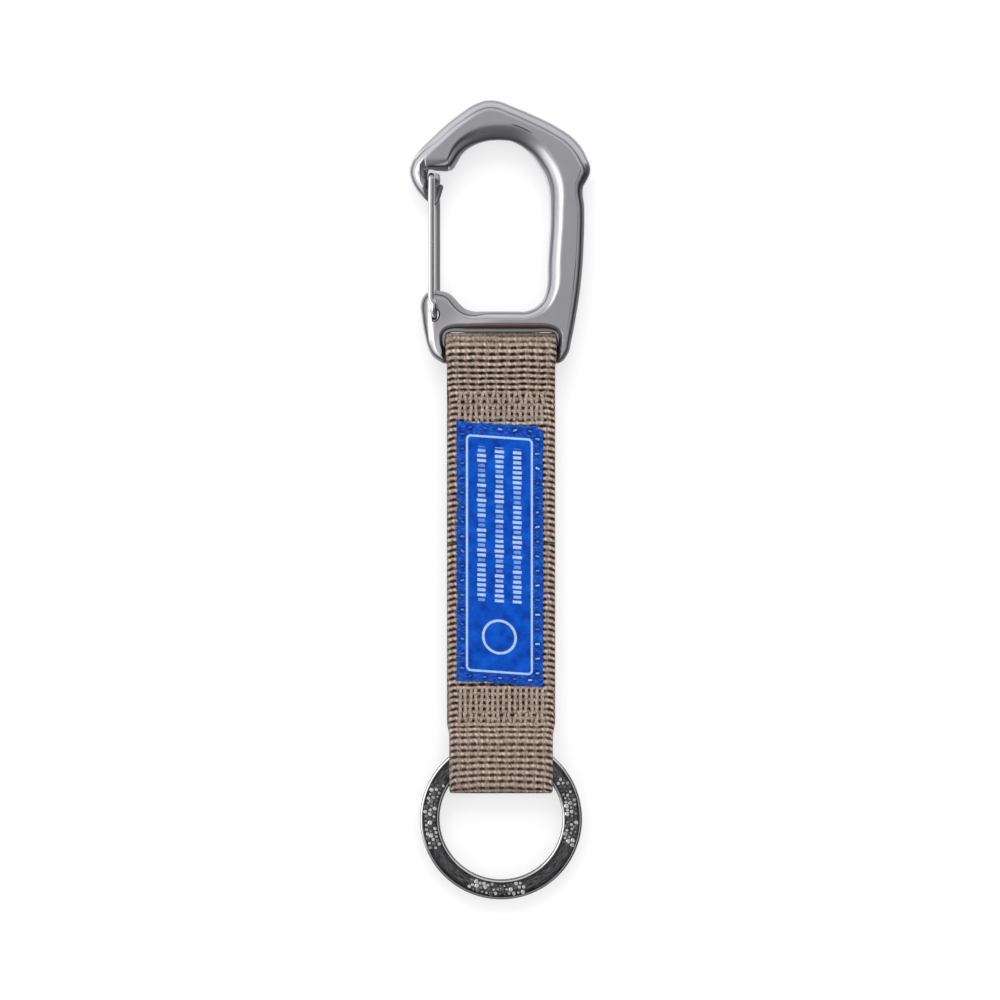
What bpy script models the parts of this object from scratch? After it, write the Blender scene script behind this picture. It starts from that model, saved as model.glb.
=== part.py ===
"""Hook keyring: a cast hook with a wire gate, a sewn webbing strap and a split ring.

It lies flat, as on a table: +X to the right, +Y towards the hook, +Z up, metres.
The origin is on the table, under the middle of the whole object.
"""

import math

import bmesh
import bpy
from mathutils import Matrix, Vector

MM = 0.001

# Webbing strap
WEBBING_WIDTH = 20 * MM
WEBBING_THICKNESS = 1.1 * MM
STRAP_OFFSET = 0.2 * MM        # the strap hangs a little to the right of the hook's middle
STRAP_REACH = 68.6 * MM        # from the hook's bar to the line where the strap bends
LOOP_REACH = 12.55 * MM        # from that line to the outside of the lower fold
LOOP_SLACK = 1.4 * MM          # free room between the bar and the upper fold
LOOP_DRAW_IN = 0.45 * MM       # the lower loop is drawn in on each side
UPPER_SEAM_DROP = 6.55 * MM    # from the bar's axis to where the two layers meet
BEND_RADIUS = 0.5 * MM         # rounded end of the strap at the bend
BEND_TAPER = 0.7 * MM
BEND_GAP = 0.25 * MM
CUP_ANGLE = 30                 # the lower loop's cup round that end, each way

# Hook
SLOT_SIDE_GAP = 0.8 * MM       # webbing to the end of the slot
SLOT_TOP_GAP = 0.3 * MM
SLOT_CORNER = 1.3 * MM
SLOT_FLARE = 0.85 * MM
SHOULDER_REACH = 5.95 * MM     # how far the bow stands out past the slot
BAR_HEIGHT = 3.0 * MM
BAR_DEPTH = 2.4 * MM
BAR_CLEARANCE = 0.25 * MM
UPPER_BAR_HEIGHT = 3.9 * MM
BOW_HEIGHT = 39.1 * MM
TABLE_GAP = 0.15 * MM          # under the upper loop of the webbing
RIM_HALF = 1.1 * MM
RIM_WIDTH = 0.6 * MM
RIM_ROUND = 0.3 * MM
FACE_ROUND = 1.25 * MM         # plan width of the rounding between rim and face
NOSE_HALF = 1.0 * MM
FOOT_HALF = 1.4 * MM
FOOT_SLOPE = 1.0 * MM

# Gate
WIRE_RADIUS = 0.6 * MM
WIRE_BEND = 0.9 * MM
GATE_GAP = 0.25 * MM           # wire to the faces of the foot
PIN_GAP = 0.2 * MM             # wire to its hole, and pin end to the middle of the foot
LEG_SET = 0.5 * MM             # the front leg leans out and the rear leg leans in by this
LEG_SET_RISE = 3.5 * MM

# Key ring
RING_RADIUS = 15.0 * MM
RING_FACE = 3.6 * MM
COIL_THICKNESS = 1.05 * MM
COIL_GAP = 0.1 * MM
COIL_CHAMFER = 0.7 * MM
COIL_CHAMFER_DROP = 0.3 * MM
RING_CLEARANCE = 0.25 * MM
COIL_END_GAP = 0.8 * MM

# Label
LABEL_WIDTH = 16.2 * MM
LABEL_LENGTH = 48.3 * MM
LABEL_THICKNESS = 0.35 * MM
LABEL_CORNER = 0.6 * MM
LABEL_TOP_DROP = 12.3 * MM     # from the bar's axis to the label's upper edge
TRIM_GAP = 0.1 * MM            # label and threads to what they lie on

# Threads
TACK_RADIUS = 0.2 * MM
TACK_PITCH = 1.02 * MM
TACK_WIDTH = 15.4 * MM
UPPER_SHORT_ROW = (6.75 * MM, 1.9 * MM)    # drop from the bar's axis, and height
UPPER_TALL_ROW = (9.25 * MM, 2.4 * MM)
LOWER_TALL_ROW = (61.5 * MM, 4.3 * MM)
LOWER_SHORT_ROW = (66.4 * MM, 1.2 * MM)
SEAM_RADIUS = 0.14 * MM
SEAM_PITCH = 3.0 * MM
SEAM_INSET = 1.25 * MM
SEAM_WAVE = 0.1 * MM

OVERRUN = 2 * MM               # how far cutters run past what they cut
WELD = 0.001 * MM

# Derived places
BAR_HALF = BAR_HEIGHT / 2
STRAP_HALF = WEBBING_THICKNESS
LOOP_HALF = BAR_HALF + BAR_CLEARANCE + WEBBING_THICKNESS
LOOP_TOP = BAR_HALF + LOOP_SLACK + WEBBING_THICKNESS
HOOK_HALF = LOOP_HALF + TABLE_GAP
MIDDLE_Z = HOOK_HALF
SLOT_HEIGHT = LOOP_SLACK + WEBBING_THICKNESS + SLOT_TOP_GAP
SLOT_WIDTH = WEBBING_WIDTH + 2 * SLOT_SIDE_GAP
BASE_HEIGHT = BAR_HEIGHT + SLOT_HEIGHT + UPPER_BAR_HEIGHT
HALF_WIDTH = SLOT_WIDTH / 2 + SHOULDER_REACH
RING_HALF = COIL_THICKNESS + COIL_GAP / 2
RING_INNER = RING_RADIUS - RING_FACE
RING_LOOP_INNER = RING_HALF + RING_CLEARANCE
RING_LOOP_HALF = RING_LOOP_INNER + WEBBING_THICKNESS
LOOP_WIDTH = WEBBING_WIDTH - 2 * LOOP_DRAW_IN
FOLD_MIDDLE = LOOP_REACH - RING_LOOP_HALF
# The ring's inner edge reaches into the round fold only as far as its own thickness lets it.
RING_EDGE_HALF = RING_HALF - COIL_CHAMFER_DROP
FOLD_DEPTH = math.sqrt(RING_LOOP_INNER ** 2 - (RING_EDGE_HALF + RING_CLEARANCE) ** 2)
RING_DROP = FOLD_MIDDLE + FOLD_DEPTH + math.sqrt(RING_INNER ** 2 - (LOOP_WIDTH / 2) ** 2)
RING_LEAN = math.atan((MIDDLE_Z - RING_LOOP_HALF) / FOLD_MIDDLE)
RING_END = (RING_DROP + RING_RADIUS) * math.cos(RING_LEAN)

LENGTH = BASE_HEIGHT + BOW_HEIGHT - BAR_HALF + STRAP_REACH + RING_END
HOOK_TOP = LENGTH / 2
FLOOR_Y = HOOK_TOP - BOW_HEIGHT            # lower edge of the hook's opening
BASE_Y = FLOOR_Y - BASE_HEIGHT
BAR_Y = BASE_Y + BAR_HALF
BEND_Y = BAR_Y - STRAP_REACH
LEG_Z = FOOT_HALF + GATE_GAP + WIRE_RADIUS

# The frame's outline, clockwise. Across: shares of the half width. Up: shares of the base
# height below the opening's floor (negative, down to -1) and of the bow height above it.
BOW_SHARES = (
    (-0.994, 0.671), (-0.955, 0.725), (-0.740, 0.827), (-0.484, 0.922), (-0.215, 0.992),
    (-0.096, 1.0), (0.006, 0.993), (0.125, 0.973), (0.364, 0.930), (0.639, 0.871),
    (0.842, 0.807), (0.955, 0.733), (1.0, 0.669), (0.949, 0.610), (0.925, 0.592),
    (0.934, 0.487), (0.931, 0.367), (0.901, 0.155),
)
BASE_SHARES = (
    (0.830, -0.222), (0.770, -0.737), (0.728, -0.881), (0.669, -0.969), (0.609, -1.0),
    (-0.597, -0.985), (-0.681, -0.933), (-0.758, -0.830), (-0.806, -0.655), (-0.848, -0.335),
)
FOOT_SHARES = (
    (-0.878, 0.035), (-0.842, 0.075), (-0.764, 0.096), (-0.663, 0.097), (-0.567, 0.086),
    (-0.501, 0.063), (-0.448, 0.037), (-0.382, 0.013), (-0.299, 0.0),
)
OPENING_SHARES = (
    (0.299, 0.0), (0.430, 0.032), (0.501, 0.088), (0.528, 0.239), (0.552, 0.495),
    (0.537, 0.602), (0.448, 0.689), (0.281, 0.769), (0.125, 0.8095), (0.080, 0.8095),
    (-0.110, 0.8095), (-0.155, 0.8095), (-0.310, 0.784), (-0.412, 0.748), (-0.478, 0.699),
    (-0.525, 0.671), (-0.573, 0.6635), (-0.896, 0.6635),
)
# The hooked nose, a thin plate, in the same shares. It starts and ends inside the frame.
NOSE_SHARES = (
    (-0.985, 0.690), (-0.997, 0.661), (-0.982, 0.625), (-0.937, 0.587), (-0.872, 0.554),
    (-0.800, 0.524), (-0.734, 0.501), (-0.693, 0.505), (-0.663, 0.539), (-0.639, 0.569),
    (-0.627, 0.590), (-0.642, 0.601), (-0.669, 0.597), (-0.716, 0.603), (-0.800, 0.616),
    (-0.818, 0.640), (-0.818, 0.690),
)
PIVOT_SHARE = (-0.728, -0.108)
CROSSBAR_SHARE = (-0.734, 0.6405)
# Width and height shares of the steps that round the hook from its rim up to its face.
FACE_STEP_SHARES = ((0.12, 0.37), (0.32, 0.37), (0.56, 0.26))
# Outside of the lower loop as it opens: share of the way to the ring, and of the rise.
SHOULDER_SHARES = ((0.6, 0.6), (0.85, 0.9), (1.3, 1.0))
MOUTH_SHARE = 0.9              # the lower loop's first thickness, of the strap's
KEPT_SHARE = 0.97              # a point moved inwards counts while it keeps this much distance

# How finely round things are drawn
OUTLINE_STEPS = 2
ROUND_STEPS = 8
CORNER_STEPS = 4
BAR_SIDES = 24
COIL_STEPS = 96
STITCH_STEPS = 4
TURN_ANGLES = (135, 90, 45)


def clear_scene():
    for thing in list(bpy.data.objects):
        bpy.data.objects.remove(thing, do_unlink=True)
    for group in list(bpy.data.collections):
        bpy.data.collections.remove(group)


def make_collection(name):
    group = bpy.data.collections.new(name)
    bpy.context.scene.collection.children.link(group)
    return group


clear_scene()
PARTS = make_collection("hook_keyring")
CUTTERS = make_collection("cutters")


def make_material(name, color, roughness, metallic):
    material = bpy.data.materials.new(name)
    material.use_nodes = True
    shader = material.node_tree.nodes["Principled BSDF"]
    shader.inputs["Base Color"].default_value = (*color, 1)
    shader.inputs["Roughness"].default_value = roughness
    shader.inputs["Metallic"].default_value = metallic
    return material


def finish(piece, material, smooth_angle=35):
    piece.data.materials.clear()
    piece.data.materials.append(material)
    if piece.type == "MESH":
        piece.data.shade_smooth()
        piece.data.set_sharp_from_angle(angle=math.radians(smooth_angle))


def place(share):
    """World X and Y of a point given in the hook's shares."""
    height = BOW_HEIGHT if share[1] > 0 else BASE_HEIGHT
    return (share[0] * HALF_WIDTH, FLOOR_Y + share[1] * height)


def smooth_loop(points, steps):
    """A closed curve through the points, each stretch in equal steps, without overshoot."""
    smoothed = []
    count = len(points)
    for index in range(count):
        p = [Vector(points[(index + offset) % count]) for offset in (-1, 0, 1, 2)]
        reach = [(p[k + 1] - p[k]).length for k in range(3)]
        tangents = [(p[k + 1] - p[k - 1]) / (reach[k - 1] + reach[k]) for k in (1, 2)]
        for step in range(steps):
            t = step / steps
            start = p[1] * (2 * t**3 - 3 * t**2 + 1) + p[2] * (3 * t**2 - 2 * t**3)
            turn = tangents[0] * (t**3 - 2 * t**2 + t) + tangents[1] * (t**3 - t**2)
            smoothed.append(start + turn * reach[1])
    return smoothed


def arc(center, across, up, start, end, steps):
    """Points on an ellipse, from one angle to the other in degrees."""
    points = []
    for step in range(steps + 1):
        angle = math.radians(start + (end - start) * step / steps)
        points.append((center[0] + across * math.cos(angle), center[1] + up * math.sin(angle)))
    return points


def ease(start, end, steps):
    """Points that leave one height level and reach another level."""
    points = []
    for step in range(1, steps):
        share = step / steps
        lift = (1 - math.cos(math.pi * share)) / 2
        points.append((start[0] + (end[0] - start[0]) * share,
                       start[1] + (end[1] - start[1]) * lift))
    return points


def rounded_box(low, high, corner, steps=CORNER_STEPS):
    points = []
    for index, (x, y) in enumerate(((high[0], high[1]), (low[0], high[1]),
                                    (low[0], low[1]), (high[0], low[1]))):
        side_x = -corner if index in (0, 3) else corner
        side_y = -corner if index in (0, 1) else corner
        points += arc((x + side_x, y + side_y), corner, corner, index * 90, index * 90 + 90, steps)
    return points


def mesh_from(curve_object):
    """Turn a curve object into a mesh object with closed, welded caps."""
    graph = bpy.context.evaluated_depsgraph_get()
    mesh = bpy.data.meshes.new_from_object(curve_object.evaluated_get(graph))
    bm = bmesh.new()
    bm.from_mesh(mesh)
    bmesh.ops.remove_doubles(bm, verts=bm.verts, dist=WELD)
    bmesh.ops.recalc_face_normals(bm, faces=bm.faces)
    bm.to_mesh(mesh)
    bm.free()
    piece = bpy.data.objects.new(curve_object.name, mesh)
    piece.matrix_world = curve_object.matrix_world.copy()
    name = curve_object.name
    bpy.data.objects.remove(curve_object, do_unlink=True)
    piece.name = name
    return piece


def plate(name, loops, half_depth, collection):
    """A flat outline, with holes for any further loops, extruded both ways."""
    curve = bpy.data.curves.new(name, "CURVE")
    curve.dimensions = "2D"
    curve.fill_mode = "BOTH"
    curve.extrude = half_depth
    for loop in loops:
        spline = curve.splines.new("POLY")
        spline.points.add(len(loop) - 1)
        for point, (x, y) in zip(spline.points, loop):
            point.co = (x, y, 0, 1)
        spline.use_cyclic_u = True
    outline = bpy.data.objects.new(name, curve)
    collection.objects.link(outline)
    bpy.context.view_layer.update()
    piece = mesh_from(outline)
    collection.objects.link(piece)
    return piece


def flare_cap(piece, side, steps):
    """Carry an end face out by steps of (rise, growth), growth as two factors and a fixed point."""
    bm = bmesh.new()
    bm.from_mesh(piece.data)
    cap = [face for face in bm.faces if face.normal.z * side > 0.99]
    for rise, growth in steps:
        bmesh.ops.inset_region(bm, faces=cap, thickness=0)
        verts = list({vert for face in cap for vert in face.verts})
        bmesh.ops.translate(bm, vec=(0, 0, rise * side), verts=verts)
        if growth:
            space = Matrix.Translation((-growth[2][0], -growth[2][1], 0))
            bmesh.ops.scale(bm, vec=(growth[0], growth[1], 1), space=space, verts=verts)
    bmesh.ops.recalc_face_normals(bm, faces=bm.faces)
    bm.to_mesh(piece.data)
    bm.free()


def distance_to_loop(spot, loop):
    nearest = None
    for index, start in enumerate(loop):
        run = loop[(index + 1) % len(loop)] - start
        share = min(max((spot - start).dot(run) / run.length_squared, 0), 1)
        gap = (spot - start - run * share).length
        nearest = gap if nearest is None else min(nearest, gap)
    return nearest


def inset_loop(loop, distance):
    """The loop moved inwards, point for point; where it would cross itself, points share a place."""
    if distance == 0:
        return list(loop)
    count = len(loop)
    moved = []
    valid = []
    for index, spot in enumerate(loop):
        along = (loop[(index + 1) % count] - loop[index - 1]).normalized()
        target = spot + Vector((along.y, -along.x)) * distance
        moved.append(target)
        valid.append(distance_to_loop(target, loop) > distance * KEPT_SHARE)
    result = list(moved)
    for index in range(count):
        if valid[index]:
            continue
        before = next(k for k in range(index, index - count, -1) if valid[k % count])
        after = next(k for k in range(index, index + count) if valid[k % count])
        result[index] = (moved[before % count] + moved[after % count]) / 2
    return result


def domed_plate(name, loop, levels, collection):
    """A plate with the same rounded edge above and below; levels are (inset, height) pairs."""
    bm = bmesh.new()
    middle = [bm.verts.new((spot.x, spot.y, 0)) for spot in loop]
    rim = [bm.edges.new((vert, middle[(index + 1) % len(middle)]))
           for index, vert in enumerate(middle)]
    for side in (1, -1):
        ring_verts, ring_edges = middle, rim
        for inset, height in levels:
            grown = bmesh.ops.extrude_edge_only(bm, edges=ring_edges)["geom"]
            fresh = [item for item in grown if isinstance(item, bmesh.types.BMVert)]
            partner = {}
            for vert in fresh:
                other = next(edge.other_vert(vert) for edge in vert.link_edges
                             if edge.other_vert(vert) in ring_verts)
                partner[other] = vert
            ring_verts = [partner[vert] for vert in ring_verts]
            for vert, spot in zip(ring_verts, inset_loop(loop, inset)):
                vert.co = (spot.x, spot.y, height * side)
            ring_edges = [bm.edges.get((vert, ring_verts[(index + 1) % len(ring_verts)]))
                          for index, vert in enumerate(ring_verts)]
        cap_height = levels[-1][1] * side
        bmesh.ops.remove_doubles(bm, verts=ring_verts, dist=WELD)
        last = [edge for edge in bm.edges
                if edge.is_boundary and all(abs(v.co.z - cap_height) < WELD for v in edge.verts)]
        bmesh.ops.triangle_fill(bm, use_beauty=True, edges=last)
    bmesh.ops.remove_doubles(bm, verts=bm.verts, dist=WELD)
    bmesh.ops.recalc_face_normals(bm, faces=bm.faces)
    mesh = bpy.data.meshes.new(name)
    bm.to_mesh(mesh)
    bm.free()
    piece = bpy.data.objects.new(name, mesh)
    collection.objects.link(piece)
    return piece


def box(name, low, high, collection, bevel=0, bevel_side=0):
    """A box between two corners; bevel slopes the edges of its lower or upper face."""
    bm = bmesh.new()
    bmesh.ops.create_cube(bm, size=1)
    size = [high[k] - low[k] for k in range(3)]
    bmesh.ops.scale(bm, vec=size, verts=bm.verts)
    bmesh.ops.translate(bm, vec=[(high[k] + low[k]) / 2 for k in range(3)], verts=bm.verts)
    if bevel:
        level = low[2] if bevel_side < 0 else high[2]
        edges = [e for e in bm.edges if all(abs(v.co.z - level) < WELD for v in e.verts)]
        bmesh.ops.bevel(bm, geom=edges, offset=bevel, segments=1, profile=0.5,
                        affect="EDGES", material=-1)
    mesh = bpy.data.meshes.new(name)
    bm.to_mesh(mesh)
    bm.free()
    piece = bpy.data.objects.new(name, mesh)
    collection.objects.link(piece)
    return piece


def combine(piece, tool, operation):
    """A live Boolean; the tool stays in the cutters' collection, hidden."""
    if tool.name not in CUTTERS.objects:
        for group in list(tool.users_collection):
            group.objects.unlink(tool)
        CUTTERS.objects.link(tool)
    tool.hide_render = True
    tool.display_type = "WIRE"
    modifier = piece.modifiers.new(tool.name, "BOOLEAN")
    modifier.operation = operation
    modifier.solver = "EXACT"
    modifier.object = tool


def tube(name, points, radius, collection, cyclic=False, resolution=2):
    """A round thread or wire along the points."""
    curve = bpy.data.curves.new(name, "CURVE")
    curve.dimensions = "3D"
    curve.bevel_depth = radius
    curve.bevel_resolution = resolution
    curve.use_fill_caps = not cyclic
    spline = curve.splines.new("POLY")
    spline.points.add(len(points) - 1)
    for point, place_of in zip(spline.points, points):
        point.co = (*place_of, 1)
    spline.use_cyclic_u = cyclic
    piece = bpy.data.objects.new(name, curve)
    collection.objects.link(piece)
    return piece


def slot_cutter():
    """The webbing's slot, open at the bottom until the bar is put back, flared at both faces."""
    left = STRAP_OFFSET - SLOT_WIDTH / 2
    right = STRAP_OFFSET + SLOT_WIDTH / 2
    bottom = BASE_Y - OVERRUN
    top = BASE_Y + BAR_HEIGHT + SLOT_HEIGHT
    corners = arc((right - SLOT_CORNER, top - SLOT_CORNER), SLOT_CORNER, SLOT_CORNER, 0, 90, CORNER_STEPS)
    corners += arc((left + SLOT_CORNER, top - SLOT_CORNER), SLOT_CORNER, SLOT_CORNER, 90, 180,
                   CORNER_STEPS)
    cutter = plate("slot_cutter", [corners + [(left, bottom), (right, bottom)]],
                   HOOK_HALF - SLOT_FLARE, CUTTERS)
    grow_x = 1 + 2 * SLOT_FLARE / SLOT_WIDTH
    grow_y = 1 + SLOT_FLARE / (top - bottom)
    for side in (1, -1):
        flare_cap(cutter, side, [(SLOT_FLARE, (grow_x, grow_y, (STRAP_OFFSET, bottom))),
                                 (OVERRUN, None)])
    return cutter


def foot_cutter(side):
    """Takes the foot down to where the gate's leg can swing over it."""
    far = -HALF_WIDTH - OVERRUN
    near = (FOOT_SHARES[5][0] + FOOT_SHARES[6][0]) / 2 * HALF_WIDTH + FOOT_SLOPE
    low_y = FLOOR_Y - UPPER_BAR_HEIGHT
    high_y = FLOOR_Y + FOOT_SHARES[3][1] * BOW_HEIGHT + OVERRUN
    heights = sorted((side * FOOT_HALF, side * (HOOK_HALF + OVERRUN)))
    return box("foot_cutter_front" if side > 0 else "foot_cutter_back",
               (far, low_y, heights[0]), (near, high_y, heights[1]), CUTTERS,
               bevel=FOOT_SLOPE, bevel_side=-side)


def pivot_cutter():
    """The hole that both ends of the gate go into, drawn out upwards for the wire's bend."""
    x, y = place(PIVOT_SHARE)
    radius = WIRE_RADIUS + PIN_GAP
    rise = WIRE_BEND + PIN_GAP
    outline = arc((x, y + rise), radius, radius, 0, 180, ROUND_STEPS)
    outline += arc((x, y), radius, radius, 180, 360, ROUND_STEPS)
    return plate("pivot_cutter", [outline], HOOK_HALF + OVERRUN, CUTTERS)


def make_bar():
    """The oval bar that the webbing goes round, run into both side walls."""
    outline = arc((0, 0), BAR_HALF, BAR_DEPTH / 2, 0, 360 - 360 / BAR_SIDES, BAR_SIDES - 1)
    bar = plate("bar", [outline], SLOT_WIDTH / 2 + SLOT_FLARE, CUTTERS)
    turn = Matrix(((0, 0, 1, STRAP_OFFSET), (1, 0, 0, BAR_Y), (0, 1, 0, 0), (0, 0, 0, 1)))
    bar.data.transform(turn)
    return bar


def make_hook():
    outline = [place(share) for share in BOW_SHARES + BASE_SHARES + FOOT_SHARES + OPENING_SHARES]
    rise = HOOK_HALF - RIM_HALF
    inset, height = RIM_ROUND + RIM_WIDTH, RIM_HALF
    levels = [(0, RIM_HALF - RIM_ROUND), (RIM_ROUND, RIM_HALF), (inset, RIM_HALF)]
    for width_share, height_share in FACE_STEP_SHARES:
        inset += width_share * FACE_ROUND
        height += height_share * rise
        levels.append((inset, height))
    hook = domed_plate("hook_body", smooth_loop(outline, OUTLINE_STEPS), levels, PARTS)
    combine(hook, foot_cutter(1), "DIFFERENCE")
    combine(hook, foot_cutter(-1), "DIFFERENCE")
    combine(hook, slot_cutter(), "DIFFERENCE")
    combine(hook, make_bar(), "UNION")
    tip = smooth_loop([place(share) for share in NOSE_SHARES], OUTLINE_STEPS)
    nose = plate("nose", [tip], NOSE_HALF, CUTTERS)
    combine(hook, nose, "UNION")
    combine(hook, pivot_cutter(), "DIFFERENCE")
    for tool in CUTTERS.objects:
        tool.location.z = MIDDLE_Z
    hook.location.z = MIDDLE_Z
    finish(hook, make_material("satin_metal", (0.56, 0.57, 0.59), 0.3, 1.0))
    return hook


def bend_points(corner, before, after, radius, steps=CORNER_STEPS):
    """A round bend at a corner between two unit directions that are square to each other."""
    center = Vector(corner) - Vector(before) * radius + Vector(after) * radius
    points = []
    for step in range(steps + 1):
        angle = math.pi / 2 * step / steps
        points.append(center - Vector(after) * radius * math.cos(angle)
                      + Vector(before) * radius * math.sin(angle))
    return points


def make_gate(parent):
    """A U of spring wire; its origin is on the hinge's axis."""
    pivot = place(PIVOT_SHARE)
    crossbar = place(CROSSBAR_SHARE)
    height = crossbar[1] - pivot[1]
    half = []
    for side in (1, -1):
        outward, up = (0, 0, side), (0, 1, 0)
        lean = -side * LEG_SET
        leg = [Vector((0, 0, side * PIN_GAP))]
        leg += bend_points((0, 0, side * LEG_Z), outward, up, WIRE_BEND)
        leg.append(Vector((lean, LEG_SET_RISE, side * LEG_Z)))
        inward = (0, 0, -side)
        leg += [point + Vector((lean, 0, 0))
                for point in bend_points((0, height, side * LEG_Z), up, inward, WIRE_BEND)]
        half.append(leg)
    gate = tube("gate_wire", half[0] + half[1][::-1], WIRE_RADIUS, PARTS)
    gate.location = (pivot[0], pivot[1], 0)
    finish(gate, make_material("gate_steel", (0.62, 0.62, 0.63), 0.18, 1.0))
    gate.parent = parent
    return gate


def side_view_plate(name, loops, half_width, collection):
    """A plate drawn as (Y, Z) and extruded across the strap."""
    piece = plate(name, loops, half_width, collection)
    piece.data.transform(Matrix(((0, 0, 1, 0), (1, 0, 0, 0), (0, 1, 0, 0), (0, 0, 0, 1))))
    return piece


def mirrored(points):
    """The points and their mirror image below, as one closed loop."""
    return points + [(y, -z) for y, z in reversed(points) if abs(z) > WELD]


def make_strap():
    """The upper loop and the sewn double layer; its origin is on the bar's axis."""
    outer = arc((0, 0), LOOP_TOP, LOOP_HALF, 0, 90, ROUND_STEPS)
    outer += ease((0, LOOP_HALF), (-UPPER_SEAM_DROP, STRAP_HALF), ROUND_STEPS)
    outer += [(-UPPER_SEAM_DROP, STRAP_HALF), (-STRAP_REACH + BEND_TAPER, STRAP_HALF)]
    outer += [(-STRAP_REACH - y, z)
              for y, z in arc((0, 0), BEND_RADIUS, BEND_RADIUS, 90, 0, CORNER_STEPS)]
    inner_half = LOOP_HALF - WEBBING_THICKNESS
    inner = arc((0, 0), LOOP_TOP - WEBBING_THICKNESS, inner_half, 0, 90, ROUND_STEPS)
    tip = -UPPER_SEAM_DROP + WEBBING_THICKNESS
    inner += ease((0, inner_half), (tip, 0), ROUND_STEPS) + [(tip, 0)]
    strap = side_view_plate("strap_webbing", [mirrored(outer), mirrored(inner)],
                            WEBBING_WIDTH / 2, PARTS)
    strap.location = (STRAP_OFFSET, BAR_Y, MIDDLE_Z)
    finish(strap, make_material("webbing", (0.30, 0.25, 0.20), 0.85, 0.0))
    return strap


def make_ring_loop(hinge):
    """The loop round the key ring; it turns about the line where the strap bends."""
    cup = BEND_RADIUS + BEND_GAP
    lip = arc((0, 0), -cup, cup, 0, CUP_ANGLE, CORNER_STEPS)
    start = RING_DROP - RING_RADIUS - RING_CLEARANCE
    rise = RING_LOOP_HALF - STRAP_HALF
    outer = lip + [(-cup - BEND_GAP / 2, STRAP_HALF * MOUTH_SHARE)]
    outer += [(-start * along, STRAP_HALF + rise * lift) for along, lift in SHOULDER_SHARES]
    outer += [(-FOLD_MIDDLE - y, z)
              for y, z in arc((0, 0), RING_LOOP_HALF, RING_LOOP_HALF, 90, 0, ROUND_STEPS)]
    inner = [(-start, 0), (-start, RING_LOOP_INNER - RING_CLEARANCE),
             (-start - RING_CLEARANCE, RING_LOOP_INNER)]
    inner += [(-FOLD_MIDDLE - y, z)
              for y, z in arc((0, 0), RING_LOOP_INNER, RING_LOOP_INNER, 90, 0, ROUND_STEPS)]
    loop = side_view_plate("ring_loop_webbing", [mirrored(outer), mirrored(inner)],
                           LOOP_WIDTH / 2, PARTS)
    loop.parent = hinge
    finish(loop, make_material("webbing_loop", (0.30, 0.25, 0.20), 0.85, 0.0))
    return loop


def coil_section():
    """Half of a flat coil's section, chamfered on all four edges."""
    wide, high = RING_FACE / 2, COIL_THICKNESS / 2
    return [(wide, high - COIL_CHAMFER_DROP), (wide - COIL_CHAMFER, high),
            (-wide + COIL_CHAMFER, high), (-wide, high - COIL_CHAMFER_DROP),
            (-wide, -high + COIL_CHAMFER_DROP), (-wide + COIL_CHAMFER, -high),
            (wide - COIL_CHAMFER, -high), (wide, -high + COIL_CHAMFER_DROP)]


def make_ring(hinge):
    """Two flat coils; the step from one to the other lies inside the webbing."""
    middle_radius = RING_RADIUS - RING_FACE / 2
    step_angle = math.degrees(WEBBING_WIDTH / 2 / middle_radius)
    shift = (COIL_THICKNESS + COIL_GAP) / 2
    end_gap = math.degrees(COIL_END_GAP / middle_radius)
    start, stop = 90 + step_angle / 2, 90 + 720 - step_angle / 2
    points = []
    for index in range(COIL_STEPS + 1):
        angle = start + end_gap / 2 + (stop - start - end_gap) * index / COIL_STEPS
        climb = min(max((angle - (450 - step_angle / 2)) / step_angle, 0), 1)
        height = -shift + 2 * shift * (1 - math.cos(math.pi * climb)) / 2
        turn = math.radians(angle)
        points.append((middle_radius * math.cos(turn), middle_radius * math.sin(turn), height))
    profile_curve = bpy.data.curves.new("coil_section", "CURVE")
    profile_curve.dimensions = "2D"
    spline = profile_curve.splines.new("POLY")
    section = coil_section()
    spline.points.add(len(section) - 1)
    for point, (x, y) in zip(spline.points, section):
        point.co = (x, y, 0, 1)
    spline.use_cyclic_u = True
    profile = bpy.data.objects.new("coil_section", profile_curve)
    profile.hide_render = True
    profile.display_type = "WIRE"
    CUTTERS.objects.link(profile)
    ring = tube("split_ring", points, 0, PARTS)
    ring.data.bevel_mode = "OBJECT"
    ring.data.bevel_object = profile
    ring.data.twist_mode = "Z_UP"
    bpy.context.view_layer.update()
    ring = mesh_from(ring)
    PARTS.objects.link(ring)
    ring.parent = hinge
    ring.location = (0, -RING_DROP, 0)
    finish(ring, make_material("black_nickel", (0.07, 0.07, 0.075), 0.22, 1.0))
    return ring


def make_hinge_empty():
    hinge = bpy.data.objects.new("ring_loop_hinge", None)
    hinge.location = (STRAP_OFFSET, BEND_Y, MIDDLE_Z)
    hinge.rotation_euler = (RING_LEAN, 0, 0)
    PARTS.objects.link(hinge)
    return hinge


def make_label(strap):
    """A thin woven patch; its place is measured from the bar's axis."""
    outline = rounded_box((-LABEL_WIDTH / 2, -LABEL_TOP_DROP - LABEL_LENGTH),
                          (LABEL_WIDTH / 2, -LABEL_TOP_DROP), LABEL_CORNER)
    label = plate("label_patch", [outline], LABEL_THICKNESS / 2, PARTS)
    label.parent = strap
    label.location.z = STRAP_HALF + TRIM_GAP + LABEL_THICKNESS / 2
    finish(label, make_material("label_blue", (0.015, 0.09, 0.50), 0.55, 0.0))
    return label


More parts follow.
